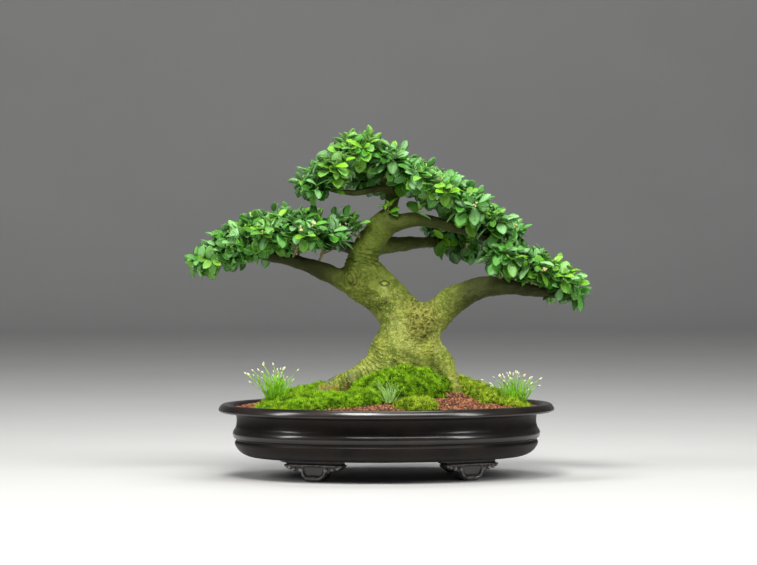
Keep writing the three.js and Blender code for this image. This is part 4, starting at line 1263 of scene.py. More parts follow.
def spindle_shape(name, length, radius, sides):
    """A seed head or a bud: a pointed spindle along +X."""
    profile = [(0.07, 0.5), (0.36, 1.0), (0.7, 0.85), (0.95, 0.28)]
    turns = np.linspace(0, 2 * math.pi, sides, endpoint=False)
    rings = [
        np.column_stack([np.full(sides, t * length), r * radius * np.cos(turns), r * radius * np.sin(turns)])
        for t, r in profile
    ]
    return template(name, *shell(rings))


def grass_blade_shape():
    """A narrow blade along +X, 1 mm long, that bends over at its end."""
    stations = [(0, 0.5), (0.3, 0.9), (0.6, 0.8), (0.85, 0.5), (1, 0.08)]
    rings = []
    for along, width in stations:
        sag = -0.16 * along**2.2
        edge = 0.024 * width
        rings.append([(along, edge, sag + 0.01), (along, 0, sag - 0.006), (along, -edge, sag + 0.01)])
    return template("grass_blade", *shell(rings))


def grass_materials(ground):
    smooth = (900.0, 3000.0, 0.4, 0.0001, 0.5)
    stem = mottled_material(
        "Grass Stems", 0.6, toned(ground.grass, 0.6), toned(ground.grass, 1.5), (150.0,), smooth, 0.12
    )
    pale = mottled_material(
        "Silvery Blades", 0.6, toned(ground.grass_pale, 0.62), ground.grass_pale, (210.0,), smooth, 0.12
    )
    head = mottled_material(
        "Seed Heads", 0.8, toned(ground.seed_head, 0.6), ground.seed_head, (520.0, 3.0, (0.3, 0.55)),
        (1500.0, 4200.0, 0.5, 0.0004, 0.9),
    )
    return stem, pale, head


def tuft(rule):
    """Stems fanned out from one foot, with seed heads, and short blades between them."""
    draw = Draws(rule["seed"] * 131)
    skeleton = Skeleton()
    foot = Vector((rule["x"], rule["y"], float(soil_height(rule["x"], rule["y"])) + 2))
    thick, thin = (0.486, 0.324) if rule["heads"] else (0.4455, 0.0825)
    for i in range(rule["stems"]):
        around = i * GOLDEN_ANGLE + draw() * 0.9
        out = ((i + 0.5) / rule["stems"]) ** 0.6
        flat = Vector((math.cos(around), 0.7 * math.sin(around), 0))
        rise = rule["height"] * (1 - 0.25 * out * out - 0.5 * draw() ** 1.5)
        root = foot + flat * (rule["base"] * out)
        far = out * rule["spread"] * (0.72 + 0.28 * draw())
        tip = foot + flat * far + Vector((rule["lean"] * rise, 0, rise + 4))
        wave = Vector((draw() - 0.5, draw() - 0.5, 0)) * 5
        bow = foot + flat * (out * rule["spread"] * 0.4) + Vector((0, 0, rise * 0.6)) + wave
        path = [Vector(p) for p in spline([root, bow, tip], 4)]
        variation = draw()
        skeleton.stalk(path, np.linspace(thick, thin, len(path)), variation=variation)
        if rule["heads"]:
            along = (path[-1] - path[-2]).normalized()
            face = along.orthogonal().normalized()
            scale = 0.8 + 0.45 * draw()
            skeleton.shape(KIND_KNOB, path[-1] - along * 0.8, along, face, (scale,) * 3, variation=variation)
    for i in range(rule["blades"]):
        around = i * GOLDEN_ANGLE * 1.7 + draw()
        out = 0.25 + 0.75 * draw()
        flat = Vector((math.cos(around), math.sin(around), 0))
        along = (flat * out * 0.9 + Vector((0, 0, 1))).normalized()
        face = (along * along.z - Vector((0, 0, 1))).normalized()
        size = (0.45 + 0.45 * draw()) * rule["height"]
        place = foot + flat * rule["base"] * out
        skeleton.shape(KIND_BLADE, place, along, face, (size, size * rule["blade"], size), variation=draw())
    return skeleton


def make_grass(ground):
    stem, pale, head = grass_materials(ground)
    blade = grass_blade_shape()
    knob = spindle_shape("seed_head", 4.6, 0.95, 6)
    for name, rule in GRASS.items():
        look = stem if rule["heads"] else pale
        finished(tuft(rule).piece(name + "_tuft", blade, knob, (look, look, head)), [name])
    for shape in (blade, knob):
        bpy.data.objects.remove(shape)


# Wood


class Limbs:
    """The wood's limbs as short tapering segments, for the distance to their blended surface."""

    def __init__(self):
        self.names = list(WOOD)
        self.segments = []
        for name in self.names:
            line = spline(WOOD[name], 5)
            starts, ends = line[:-1], line[1:]
            steps = np.linalg.norm(ends[:, :3] - starts[:, :3], axis=1)
            self.segments.append((starts, ends, np.concatenate([[0], np.cumsum(steps)[:-1]]), steps))

    def nearest(self, points, index):
        """Distance to one limb's surface, the direction away from it, the length along it and its radius."""
        starts, ends, before, steps = self.segments[index]
        axis = ends[:, :3] - starts[:, :3]
        offset = points[:, None, :] - starts[None, :, :3]
        share = np.clip((offset * axis).sum(2) / (steps**2), 0, 1)
        away = offset - share[..., None] * axis
        reach = np.linalg.norm(away, axis=2)
        radius = starts[:, 3] + share * (ends[:, 3] - starts[:, 3])
        distance = reach - radius
        best = distance.argmin(1)
        row = np.arange(len(points))
        direction = away[row, best] / np.maximum(reach[row, best], 1e-6)[:, None]
        along = before[best] + share[row, best] * steps[best]
        return distance[row, best], direction, along, radius[row, best]

    def field(self, points):
        """The blended wood at many points, worked out for a few thousand of them at a time."""
        groups = np.array_split(points, max(1, len(points) // 12000))
        return [np.concatenate(column) for column in zip(*map(self.field_of_some, groups))]

    def field_of_some(self, points):
        """Distance, direction, nearest limb, length along it, its radius and the next limb's lag."""
        total, slope = None, None
        count = len(points)
        nearest, along, girth = np.zeros(count, int), np.zeros(count), np.zeros(count)
        least, second = np.full(count, 1e9), np.full(count, 1e9)
        for index, name in enumerate(self.names):
            distance, direction, length, radius = self.nearest(points, index)
            closer = distance < least
            second = np.where(closer, least, np.minimum(second, distance))
            nearest = np.where(closer, index, nearest)
            along = np.where(closer, length, along)
            girth = np.where(closer, radius, girth)
            least = np.where(closer, distance, least)
            width = BLENDS.get(name, USUAL_BLEND)
            if total is None:
                total, slope = distance, direction
            else:
                total, slope = blended(total, slope, distance, direction, width)
        centre = np.array(BURL["at"], float)
        turn = np.array(Matrix.Rotation(math.radians(BURL["lean"]), 3, "Y"))
        local = (points - centre) @ turn
        radii = np.array(BURL["radii"], float)
        distance = (np.linalg.norm(local / radii, axis=1) - 1) * radii.min()
        direction = (local / radii**2) @ turn.T
        direction /= np.maximum(np.linalg.norm(direction, axis=1), 1e-9)[:, None]
        total, slope = blended(total, slope, distance, direction, BURL["blend"])
        slope /= np.maximum(np.linalg.norm(slope, axis=1), 1e-6)[:, None]
        return total, slope, nearest, along, girth, second - least


def blended(first, first_slope, second, second_slope, width):
    """Two distances as one, rounded where they meet."""
    share = np.clip(0.5 + 0.5 * (first - second) / width, 0, 1)
    total = first + (second - first) * share - width * share * (1 - share)
    return total, first_slope + (second_slope - first_slope) * share[:, None]


def bell(points, centre, reach):
    """1 at a place, falling off smoothly over a distance."""
    return np.exp(-(((points - np.array(centre, float)) / reach) ** 2).sum(1))


def wood_skin(settings):
    parts = []
    for rows in WOOD.values():
        line = spline(rows, 5)
        parts.append(tube(line[:, :3], line[:, 3], 20))
    parts.append(ellipsoid(BURL["at"], BURL["radii"], BURL["lean"]))
    return remeshed(closed_object("wood_raw", *gathered(parts)), "tree_wood", settings.detail, 0)


def knot_distance(points, squash=1.0):
    return np.linalg.norm((points - np.array(KNOT, float)) * (1, 1, squash), axis=1)


def fold_lines(points, names, along):
    """The count of folds up to each point, how deep they are there and whether they ring a bend or a knot."""
    dx, dz = points[:, 0] - FOLD_CENTRE[0], points[:, 2] - FOLD_CENTRE[1]
    angle = np.arctan2(dz, dx)
    reach = np.hypot(dx, dz)
    phase = np.maximum(angle, -math.pi / 2) * FOLD_RADIUS / FOLD_PITCH - np.maximum(0, -dx) / FOLD_PITCH
    fan = np.clip((-0.12 - angle) / 0.25, 0, 1) * np.clip((135 - reach) / 45, 0, 1) * (angle < 0)
    fan = fan * np.isin(names, ("trunk", "left_root")) * np.clip(1 + dx / 50, 0.35, 1)
    bend = 2.2 * np.exp(-(((points[:, 2] - BEND_HEIGHT) / 9) ** 2)) * (names == "trunk")
    knot = knot_distance(points, 0.82) + 1.9 * noise_of(points, 9.0, 11.0, 2)
    circle = 1.3 * np.exp(-((knot / 12.5) ** 4))
    right = 0.3 * (names == "right_root") * np.clip((150 - points[:, 2]) / 20, 0, 1)
    depths = np.stack([fan, bend, circle, right])
    crease = points[:, 2] + 0.12 * points[:, 0] + 2.2 * noise_of(points, 16.0, 12.0, 2)
    phases = np.stack([phase, crease / CREASE_PITCH, knot / KNOT_PITCH, along / ROOT_PITCH])
    pick = depths.argmax(0)
    row = np.arange(len(points))
    return phases[pick, row], np.clip(depths[pick, row], 0, 1.7), (pick == 1) | (pick == 2)


def painted_light_on(points):
    """How much painted highlight, over 0, or painted shadow, under 0, each point of the wood's front gets."""
    patches = np.zeros(len(points))
    for x, z, half_x, half_z, strength in PAINTED_LIGHT_PATCHES:
        reach = ((points[:, 0] - x) / half_x) ** 2 + ((points[:, 2] - z) / half_z) ** 2
        patches += strength * np.exp(-reach)
    return patches


def bark_relief(points, girth, folds, burl, worms):
    """How far the bark stands out from the smooth wood at each point."""
    size = np.clip(girth / 16, 0.25, 1)
    relief = folds * size + 2.6 * noise_of(points, 30.0, 1.0, 2) * size
    relief += 1.25 * noise_of(points, 11.0, 2.0, 3) * size + 0.4 * noise_of(points, 4.2, 3.0, 2) * size
    for centre, reach, rise in SWELLINGS:
        relief += rise * bell(points, centre, reach)
    knot = knot_distance(points)
    relief += 1.9 * np.exp(-((knot / 9.5) ** 4)) - 0.7 * np.exp(-(((knot - 11.2) / 1.8) ** 2))
    knobs = burl + 0.4 * bell(points, (19, -24, 213), 14)
    return relief + knobs * np.clip(1.9 - 5 * worms, -1.2, 1.2) + burl * 2.6 * noise_of(points, 9.0, 8.0, 1)


def make_wood(settings):
    piece = wood_skin(settings)
    mesh = piece.data
    points = vertices_of(mesh)
    limbs = Limbs()
    for _ in range(4):
        distance, slope, *_others = limbs.field(points)
        points -= slope * np.clip(distance, -3, 3)[:, None]
    _, slope, nearest, along, girth, lag = limbs.field(points)
    names = np.array(limbs.names)[nearest]
    phase, depth, ringed = fold_lines(points, names, along)
    depth = depth * np.where(ringed, 1, np.clip(lag / 5, 0.15, 1))
    folds = -settings.wrinkle / MM * depth * np.cos(2 * math.pi * phase)
    burl = bell(points, BURL["at"], (19, 22, 25))
    worms = np.array([noise.turbulence(Vector(p) / 4.6, 2, True) for p in points.tolist()])
    patches = painted_light_on(points)
    front = np.clip(-slope[:, 1] * 2, 0, 1)
    points += slope * bark_relief(points, girth, folds, burl, worms)[:, None]
    points[:, 2] = np.maximum(points[:, 2], WOOD_BOTTOM)
    place_vertices(mesh, points)
    above_roots = ~np.isin(names, ROOTS)
    low = np.clip((118 - points[:, 2]) / 26, 0, 1)
    on_left = (names == "left_root") * np.clip((-28 - points[:, 0]) / 30, 0, 1)
    on_right = (names == "right_root") * np.clip((100 - points[:, 2]) / 14, 0, 1)
    for label, values in (
        ("lichen_orange", np.clip(0.95 * on_left * low + on_right, 0, 1)),
        ("lichen_grey", np.clip(on_left + 0.15 * low, 0, 1)),
        ("burl", np.clip(1.3 * burl, 0, 1)),
        ("worms", worms),
        # Painted highlight and painted shadow, on the front of the wood only.
        ("pale", np.clip(patches, 0, 1) * front),
        ("dark", np.clip(-patches, 0, 1) * front),
        ("pores", bell(points, (-10, -26, 211), (17, 20, 15)) + 0.6 * bell(points, (-40, -12, 228), 10)),
        # Branches out to the sides: painted shade under the foliage, and older, browner bark.
        ("outer", np.clip((np.abs(points[:, 0] - 5) - 58) / 30, 0, 1) * above_roots),
        ("thin", np.clip((15 - girth) / 9, 0, 1) * above_roots),
        ("fold_count", phase),
        ("fold_depth", depth),
    ):
        add_attribute(mesh, label, "FLOAT", "POINT", values)
    mesh.materials.append(bark_material(settings))
    finished(piece, ["wood"])


def bark_colours(look, wood):
    """Green bark with light specks and blotches, with painted shade high up the tree under the foliage and on
    the branches out to the sides, whose bark is also older and browner.
    """
    plain, _ = look.mottle(wood.bark_green, wood.bark_light, 42.0, 5.0, (0.36, 0.64))
    specks, _ = look.mottle(plain, (0.66, 0.68, 0.25), 480.0, 4.0, (0.54, 0.68))
    specked = look.mix(0.7, plain, specks)
    blotches, _ = look.mottle(specked, (0.49, 0.51, 0.11), 135.0, 4.0, (0.5, 0.68))
    blotched = look.mix(0.8, specked, blotches)
    clouds, _ = look.mottle(blotched, wood.bark_dark_and_groove_shade, 75.0, 6.0, (0.48, 0.72))
    clouded = look.mix(0.62, blotched, clouds)
    # Painted shade: the trunk is darkened high up, where the foliage above shades it.
    raised = look.times(look.spread(look.height(), 0.18, 0.252), 0.85)
    upper = look.mix(raised, clouded, (0.07, 0.105, 0.006))
    # Painted shade on the branches out to the sides, which also stands for their older, browner bark.
    return look.mix(look.times(look.attribute("outer"), 0.88), upper, (0.034, 0.042, 0.008))


def bark_pits(look, stretched):
    """Pores in clusters, closer together where the wood is marked with them."""
    cells = look.node("ShaderNodeTexVoronoi", Vector=stretched, Scale=300.0).outputs["Distance"]
    clusters = look.times(look.patches(85.0, 3.0, (0.45, 0.68)), 0.42)
    crowd = look.plus(clusters, look.times(look.attribute("pores"), 0.2))
    return look.spread(look.minus(crowd, cells), 0.0, 0.12)


def painted_light_bark(look, bark):
    """The bark with painted highlights on its pale places and painted shadows on its dark places, broken up
    at their edges.
    """
    pale = look.times(look.attribute("pale"), look.patches(160.0, 4.0, (0.32, 0.6)))
    lit = look.mix(pale, bark, (0.5, 0.56, 0.16))
    dark = look.times(look.attribute("dark"), look.patches(95.0, 4.0, (0.25, 0.6)))
    return look.mix(dark, lit, (0.075, 0.1, 0.008))


def fold_groove_shade(look, wander):
    """Lines in the folds that the wood carries as a count and a depth; they paint shade in the grooves."""
    gaps = look.patches(70.0, 2.0, (0.4, 0.6))
    count = look.plus(look.attribute("fold_count"), look.times(wander, 3.2))
    crest = look.math("ABSOLUTE", look.minus(look.math("FRACT", count), 0.5))
    depth = look.times(look.attribute("fold_depth"), look.spread(gaps, 0.0, 1.0, 0.25, 1.0))
    return look.times(look.spread(crest, 0.38, 0.5), depth)


def scar_ring(look, wander):
    """A wavering oval line round the scar."""
    centre = look.node("ShaderNodeVectorMath", {"operation": "SUBTRACT"})
    look.feed(centre, "#0", look.place)
    look.feed(centre, "#1", Vector(SCAR["at"]) * MM)
    level = look.node("ShaderNodeVectorMath", {"operation": "DIVIDE"})
    look.feed(level, "#0", centre.outputs[0])
    look.feed(level, "#1", Vector(SCAR["half"]) * MM)
    away = look.node("ShaderNodeVectorMath", {"operation": "LENGTH"})
    look.feed(away, "#0", level.outputs[0])
    edge = look.plus(away.outputs["Value"], look.times(wander, 0.5))
    return look.spread(look.math("ABSOLUTE", look.minus(edge, 1.25)), 0.1, 0.34, 1.0, 0.0)


def lichened_bark(look, bark, wood):
    """Grey lichen in patches, with flecks of orange lichen over it."""
    grey = look.times(look.patches(80.0, 3.0, (0.5, 0.58)), look.attribute("lichen_grey"))
    greyed = look.mix(look.times(grey, 0.8), bark, wood.lichen_grey)
    orange = look.times(look.patches(110.0, 4.0, (0.46, 0.6)), look.attribute("lichen_orange"))
    return look.mix(orange, greyed, wood.lichen_orange)


def bark_material(wood):
    look = Look("Green Privet Bark", 0.7, Specular_IOR_Level=0.22)
    stretched = look.node("ShaderNodeMapping", Vector=look.place, Scale=(1.0, 1.0, 2.1)).outputs[0]
    wander = look.noise(60.0, 4.0)
    pits = bark_pits(look, stretched)
    pitted = look.mix(look.times(pits, 0.8), bark_colours(look, wood), wood.bark_dark_and_groove_shade)
    worms = look.plus(look.attribute("worms"), look.times(look.noise(260.0, 2.0, 2.0), 0.3))
    worm = look.spread(worms, 0.38, 0.62, 1.0, 0.0)
    burl = look.attribute("burl")
    burled = look.mix(worm, (0.105, 0.105, 0.009), (0.37, 0.355, 0.08))
    grown = look.mix(look.times(burl, 0.85), painted_light_bark(look, pitted), burled)
    cracks = look.node("ShaderNodeTexVoronoi", {"feature": "DISTANCE_TO_EDGE"}, Vector=stretched, Scale=115.0)
    crack = look.times(look.spread(cracks.outputs[0], 0.0, 0.07, 0.45, 0.0), look.attribute("lichen_grey"))
    lines = look.most(look.most(fold_groove_shade(look, wander), scar_ring(look, wander)), crack)
    # Painted shade in the fold grooves; the scar's ring and the cracks under the grey lichen are the bark's
    # own dark marks.
    groove_shaded = look.mix(look.math("MULTIPLY", lines, 0.72, clamp=True), grown, wood.bark_dark_and_groove_shade)
    # Thin limbs: their brown bark, darkened further as painted shade under the foliage.
    thin = look.times(look.attribute("thin"), look.spread(wander, 0.3, 0.7, 0.55, 0.95))
    look.paint(look.mix(thin, lichened_bark(look, groove_shaded, wood), wood.bark_brown_and_shade))
    look.rough(pits, 0.6, 0.85)
    dents = look.plus(look.times(pits, -0.5), look.times(lines, -1.1))
    look.relief(190.0, 900.0, 0.75, 0.0019, 1.0, look.plus(dents, look.times(look.times(worm, burl), 1.1)))
    return look.material


# Foliage


class Pad:
    """A cushion of foliage: where its shoots end, and which of its sprays each belongs to."""

    def __init__(self, name):
        self.name = name
        self.limb, at, self.half, slope, self.sprays = PADS[name]
        self.at = Vector(at)
        self.turn = Quaternion((0, 1, 0), -math.radians(slope))

    def depth(self, point):
        """How deep a point lies in the pad: under 1 is inside."""
        local = self.turn.inverted() @ (point - self.at)
        return math.sqrt(sum((local[i] / self.half[i]) ** 2 for i in range(3)))

    def group(self, point):
        turn = math.atan2(point.y - self.at.y, point.x - self.at.x) / (2 * math.pi) + 0.62
        return int((turn % 1) * self.sprays) % self.sprays

    def tips(self, spacing, others, underside=PAD_UNDERSIDE, level=1.0, inset=0.0):
        """Shoot tips spread over the pad, left out where another pad covers them."""
        a, b, c = self.half
        mean = ((a * b) ** 1.6 / 3 + (a * c) ** 1.6 / 3 + (b * c) ** 1.6 / 3) ** 0.625
        spread = (1 - underside) / (1 - PAD_UNDERSIDE)
        count = max(3, math.floor(4 * math.pi * mean / 1.5 / spacing**2 * spread * level**2 + 0.5))
        found = []
        for i in range(count):
            rise = 1 - ((i + 0.5) / count) * (1 - underside)
            flat = math.sqrt(1 - rise * rise)
            around = i * GOLDEN_ANGLE + self.at.x
            unit = Vector((flat * math.cos(around), flat * math.sin(around), rise))
            point = self.turn @ Vector((a * unit.x, b * unit.y, c * unit.z)) * level + self.at
            outwards = self.turn @ Vector((unit.x / a, unit.y / b, unit.z / c)).normalized()
            if any(other is not self and other.depth(point) < 0.82 for other in others):
                continue
            point = point - outwards * inset
            axis = (outwards * 0.8 + Vector((0, 0, 0.45))).normalized()
            side = Quaternion(axis, around) @ Vector((1, 0, 0)).cross(axis).normalized()
            if underside < PAD_UNDERSIDE:
                point = point - Vector((0, 0, HANG * max(0, -rise) ** 2))
            found.append({"point": point, "side": side})
        return found


def nearest_on(limb, target):
    line = spline([row[:3] for row in WOOD[limb]], 12)
    line = line[int(0.2 * len(line)) : int(0.97 * len(line))]
    return Vector(line[np.linalg.norm(line - np.array(target), axis=1).argmin()])


def plan_sprays(settings):
    """The main tips of each spray, as in the part's source, and the finer ones round them."""
    pads = [Pad(name) for name in PADS]
    plans = []
    for pad in pads:
        groups = [[] for _ in range(pad.sprays)]
        for tip in pad.tips(MAIN_SPACING, pads):
            groups[pad.group(tip["point"])].append(tip)
        kept = [index for index, group in enumerate(groups) if group]
        own = {}
        for order, index in enumerate(kept):
            name = f"spray_{pad.name}_{order + 1}"
            own[index] = {"name": name, "pad": pad, "main": groups[index], "fine": []}
        spacing = settings.shoot_spacing / MM
        underside = UNDERSIDES.get(pad.name, HANGING_UNDERSIDE)
        outer = pad.tips(spacing, pads, underside, inset=INSETS.get(pad.name, 0))
        inner = pad.tips(spacing * 1.25, pads, underside, INNER_LEVEL)
        for tip in [*outer, *inner]:
            index = pad.group(tip["point"])
            if index not in own:
                index = min(kept, key=lambda k: abs(k - index))
            if all((tip["point"] - main["point"]).length > 8 for main in own[index]["main"]):
                own[index]["fine"].append(tip)
        plans += [own[index] for index in kept]
    sprays = sorted(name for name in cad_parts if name.startswith("spray_"))
    if sprays != sorted(plan["name"] for plan in plans):
        raise RuntimeError("the sprays aren't those of the packed part")
    return plans


def leaf_shape(settings):
    """A rounded privet leaf along +X with its upper side to +Z, thin and closed, with a raised margin."""
    long, wide = settings.leaf_length / MM, settings.leaf_width / MM
    stations = [(0, 0.05), (0.16, 0.3), (0.4, 0.47), (0.66, 0.49), (0.88, 0.32), (1, 0.04)]
    shares = (-1, -0.55, 0, 0.55, 1)
    points, places, tops, bottoms = [], [], [], []
    for t, half in stations:
        top = []
        for share in shares:
            y = share * half * wide
            z = 0.2 * abs(y) + 0.012 * y * y - 0.11 * long * t * t
            z += 0.42 * math.sin(9 * t + math.copysign(2.5, share)) * abs(share) if share else -0.3
            lift = 0.17 * (1 - share * share) * (1 - 0.5 * t)
            top.append(len(points))
            points.append((t * long, y, z + lift))
            places.append((t, share / 2 + 0.5))
        bottoms.append((top[0], len(points), top[-1]))
        points.append((t * long, 0, points[top[2]][2] - 0.34 * (1 - 0.5 * t)))
        places.append((t, 0.5))
        tops.append(top)
    faces, upper = [], []
    for i in range(len(stations) - 1):
        for j in range(4):
            faces.append((tops[i][j], tops[i + 1][j], tops[i + 1][j + 1], tops[i][j + 1]))
            upper.append(1.0)
        for j in range(2):
            faces.append((bottoms[i][j], bottoms[i][j + 1], bottoms[i + 1][j + 1], bottoms[i + 1][j]))
            upper.append(0.0)
    for i in (0, len(stations) - 1):
        ring = (*tops[i], bottoms[i][1])
        faces.append(ring if i == 0 else tuple(reversed(ring)))
        upper.append(0.5)
    made = template("leaf", points, faces)
    layer = made.data.uv_layers.new(name="Leaf")
    for loop in made.data.loops:
        layer.data[loop.index].uv = places[loop.vertex_index]
    add_attribute(made.data, "upper_side", "FLOAT", "FACE", upper)
    return made


def leaf_material(foliage):
    look = Look("Privet Leaf", 0.36, Specular_IOR_Level=0.5)
    uv = look.node("ShaderNodeUVMap", {"uv_map": "Leaf"}).outputs[0]
    parts = look.node("ShaderNodeSeparateXYZ", Vector=uv)
    across = look.math("ABSOLUTE", look.minus(parts.outputs[1], 0.5))
    base, mask = look.mottle(foliage.leaf_green, foliage.leaf_blue, 130.0, 3.0, (0.34, 0.7))
    variation = look.attribute("variation")
    middle = look.spread(across, 0.16, 0.48, 1.0, 0.0)
    # Painted sheen: a pale highlight on the middle of some grown leaves.
    painted_sheen = look.times(look.spread(variation, 0.35, 0.8, 0.0, 0.95), middle)
    varied = look.mix(painted_sheen, base, foliage.leaf_painted_sheen)
    # Painted shade: leaves with low variations, mostly the inner pairs, are darkened as old leaves in the
    # shade inside the pad.
    inner_shaded_leaves = look.mix(look.spread(variation, 0.0, 0.4, 0.9, 0.0), varied, foliage.leaf_old_and_shaded)
    youth = look.attribute("youth")
    young = look.mix(look.spread(youth, 0.15, 0.95), inner_shaded_leaves, foliage.leaf_young)
    under = look.mix(0.45, young, (0.16, 0.3, 0.13))
    sided = look.mix(look.attribute("upper_side"), under, young)
    rib = look.spread(across, 0.0, 0.035, 1.0, 0.0)
    slanted = look.minus(parts.outputs[0], look.times(across, 0.55))
    wave = look.math("SINE", look.times(slanted, 46.0))
    veins = look.times(look.spread(wave, 0.72, 1.0), look.spread(across, 0.36, 0.5, 0.5, 0.0))
    margin = look.spread(across, 0.44, 0.5)
    lines = look.most(look.most(rib, look.times(veins, 0.55)), look.times(margin, 0.6))
    look.paint(look.mix(look.times(lines, 0.6), sided, foliage.leaf_rib))
    look.rough(mask, 0.34, 0.5)
    look.relief(500.0, 2600.0, 0.2, 0.00022, 0.6, look.times(lines, -0.6))
    return look.material


def twig_materials(foliage):
    twig = Look("Young Twigs", 0.65)
    base, _ = twig.mottle(toned(foliage.twig_tan, 0.4), foliage.twig_tan, 240.0, 4.0, (0.3, 0.62))
    green, _ = twig.mottle(base, (0.16, 0.22, 0.04), 120.0, 2.0, (0.5, 0.72))
    twig.paint(green)
    twig.relief(700.0, 2600.0, 0.5, 0.0003, 0.8)
    bud = mottled_material(
        "Cream Buds", 0.6, (0.42, 0.36, 0.1), foliage.bud, (420.0, 2.0, (0.32, 0.52)),
        (1200.0, 4200.0, 0.4, 0.0002, 0.7),
    )
    return twig.material, bud


def grow_shoot(skeleton, youth_share, tip, start, pairs, main, seed, settings):
    """One shoot: a bowed twig with opposite pairs of leaves, and now and then a cluster of buds."""
    draw = Draws(seed)
    point = tip["point"]
    axis = (point - start).normalized()
    side = (tip["side"] - axis * tip["side"].dot(axis)).normalized()
    shoot_youth = draw() < youth_share
    if not main:
        point = point + axis * (5 * draw() ** 3)
    end = point + axis * 1.5
    bow = (start + end) / 2 + side * ((draw() - 0.5) * 5) + Vector((0, 0, -0.08 * (end - start).length))
    path = [Vector(p) for p in spline([start, bow, end], 3)]
    skeleton.stalk(path, np.linspace(settings.twig / MM, 0.42, len(path)), variation=draw())
    spacing = settings.pair_spacing / MM
    for pair in range(pairs):
        for half in (0.0, math.pi):
            around = half + pair * math.pi / 2 + (draw() - 0.5) * 0.5
            opening = 30 + 26 * draw() if pair == 0 else 66 + 26 * draw()
            size = (0.58 if pair == 0 else 0.74) + 0.48 * draw()
            roll, lift = (draw() - 0.5) * 1.1, draw()
            opening = math.radians(opening)
            radial = Quaternion(axis, around) @ side
            along = axis * math.cos(opening) + radial * math.sin(opening)
            along = (along + Vector((0, 0, 0.5 * (lift - 0.5)))).normalized()
            light = axis * 0.6 + Vector((0, 0, 0.4))
            face = (light - along * light.dot(along)).normalized()
            face = Quaternion(along, roll) @ face
            root = point - axis * (pair * spacing + 1 - 0.2 * draw()) + radial * 0.3
            reach = abs((root + along * (settings.leaf_length / MM) * size).x)
            youth = (0.55 + 0.45 * draw()) * (1.0 if pair == 0 else 0.55) if shoot_youth else 0.22 * draw()
            # Inner pairs get low variations, so the leaf material paints them dark: painted shade inside the
            # pad, and older leaves.
            variation = draw() * (1 if pair < 2 else 0.35)
            if reach > TREE_REACH or size < 0.5:
                continue
            width = size * (0.9 + 0.22 * draw()) * (0.8 if pair == 0 else 1)
            skeleton.shape(KIND_BLADE, root, along, face, (size, width, size), youth, variation)
    if draw() < BUDDING:
        for _ in range(5 + int(4 * draw())):
            wander = Vector((draw() - 0.5, draw() - 0.5, draw() - 0.3)) * 6
            along = (axis + wander * 0.2).normalized()
            scale = 0.7 + 0.6 * draw()
            face = along.orthogonal().normalized()
            skeleton.shape(KIND_KNOB, end + wander * 0.6, along, face, (scale,) * 3, variation=draw())


def grow_spray(plan, number, settings):
    pad = plan["pad"]
    skeleton = Skeleton()
    centre = sum((tip["point"] for tip in plan["main"]), Vector()) / len(plan["main"])
    hub = centre.lerp(pad.at, 0.35) - Vector((0, 0, pad.half[2] * 0.7))
    foot = nearest_on(pad.limb, hub)
    bow = (foot + hub) / 2 + Vector((0, 0, -2))
    stem = [Vector(p) for p in spline([foot, bow, hub], 3)]
    radius = settings.twig / MM
    skeleton.stalk(stem, np.linspace(radius * 1.6, radius * 1.25, len(stem)), variation=0.4)
    tips = [(tip, True) for tip in plan["main"]] + [(tip, False) for tip in plan["fine"]]
    share = min(4 / max(1.0, (foot - hub).length), 0.7 / len(tips))
    for shoot, (tip, main) in enumerate(tips):
        start = hub.lerp(foot, min(0.8, shoot * share))
        if not main:
            start = start.lerp(tip["point"], 0.12)
        pairs = 3 if main or (shoot * 7 + number) % 5 else 4
        seed = number * 1009 + shoot * 31 + 1
        youth_share = YOUTH.get(pad.name, USUAL_YOUTH)
        grow_shoot(skeleton, youth_share, tip, start, pairs, main, seed, settings)
    return skeleton


def grow_spurs(settings):
    skeleton = Skeleton()
    for number, (foot, tips, youth_share) in enumerate(SPURS):
        foot = Vector(foot)
        for order, place in enumerate(tips):
            point = Vector(place)
            side = (point - foot).orthogonal().normalized()
            tip = {"point": point, "side": side}
            seed = 90001 + number * 101 + order * 7
            pairs = 2 if (point - foot).length < 20 else 3
            grow_shoot(skeleton, youth_share, tip, foot, pairs, True, seed, settings)
    return skeleton


def make_foliage(settings):
    leaf = leaf_shape(settings)
    bud = spindle_shape("bud", 3.0, 1.05, 5)
    twig_look, bud_look = twig_materials(settings)
    looks = (twig_look, leaf_material(settings), bud_look)
    for number, plan in enumerate(plan_sprays(settings)):
        piece = grow_spray(plan, number, settings).piece("leafy_" + plan["name"], leaf, bud, looks)
        finished(piece, [plan["name"]])
    finished(grow_spurs(settings).piece("leafy_spurs", leaf, bud, looks))
    for shape in (leaf, bud):
        bpy.data.objects.remove(shape)


# Stage


def area_light(name, place, size, power, tint):
    light = bpy.data.lights.new(name, "AREA")
    light.shape = "RECTANGLE"
    light.size, light.size_y = size
    light.energy = power
    light.color = tint
    made = linked(name, light)
    made.location = place
    made.rotation_mode = "QUATERNION"
    made.rotation_quaternion = (Vector(LIT_PLACE) - Vector(place)).to_track_quat("-Z", "Y")


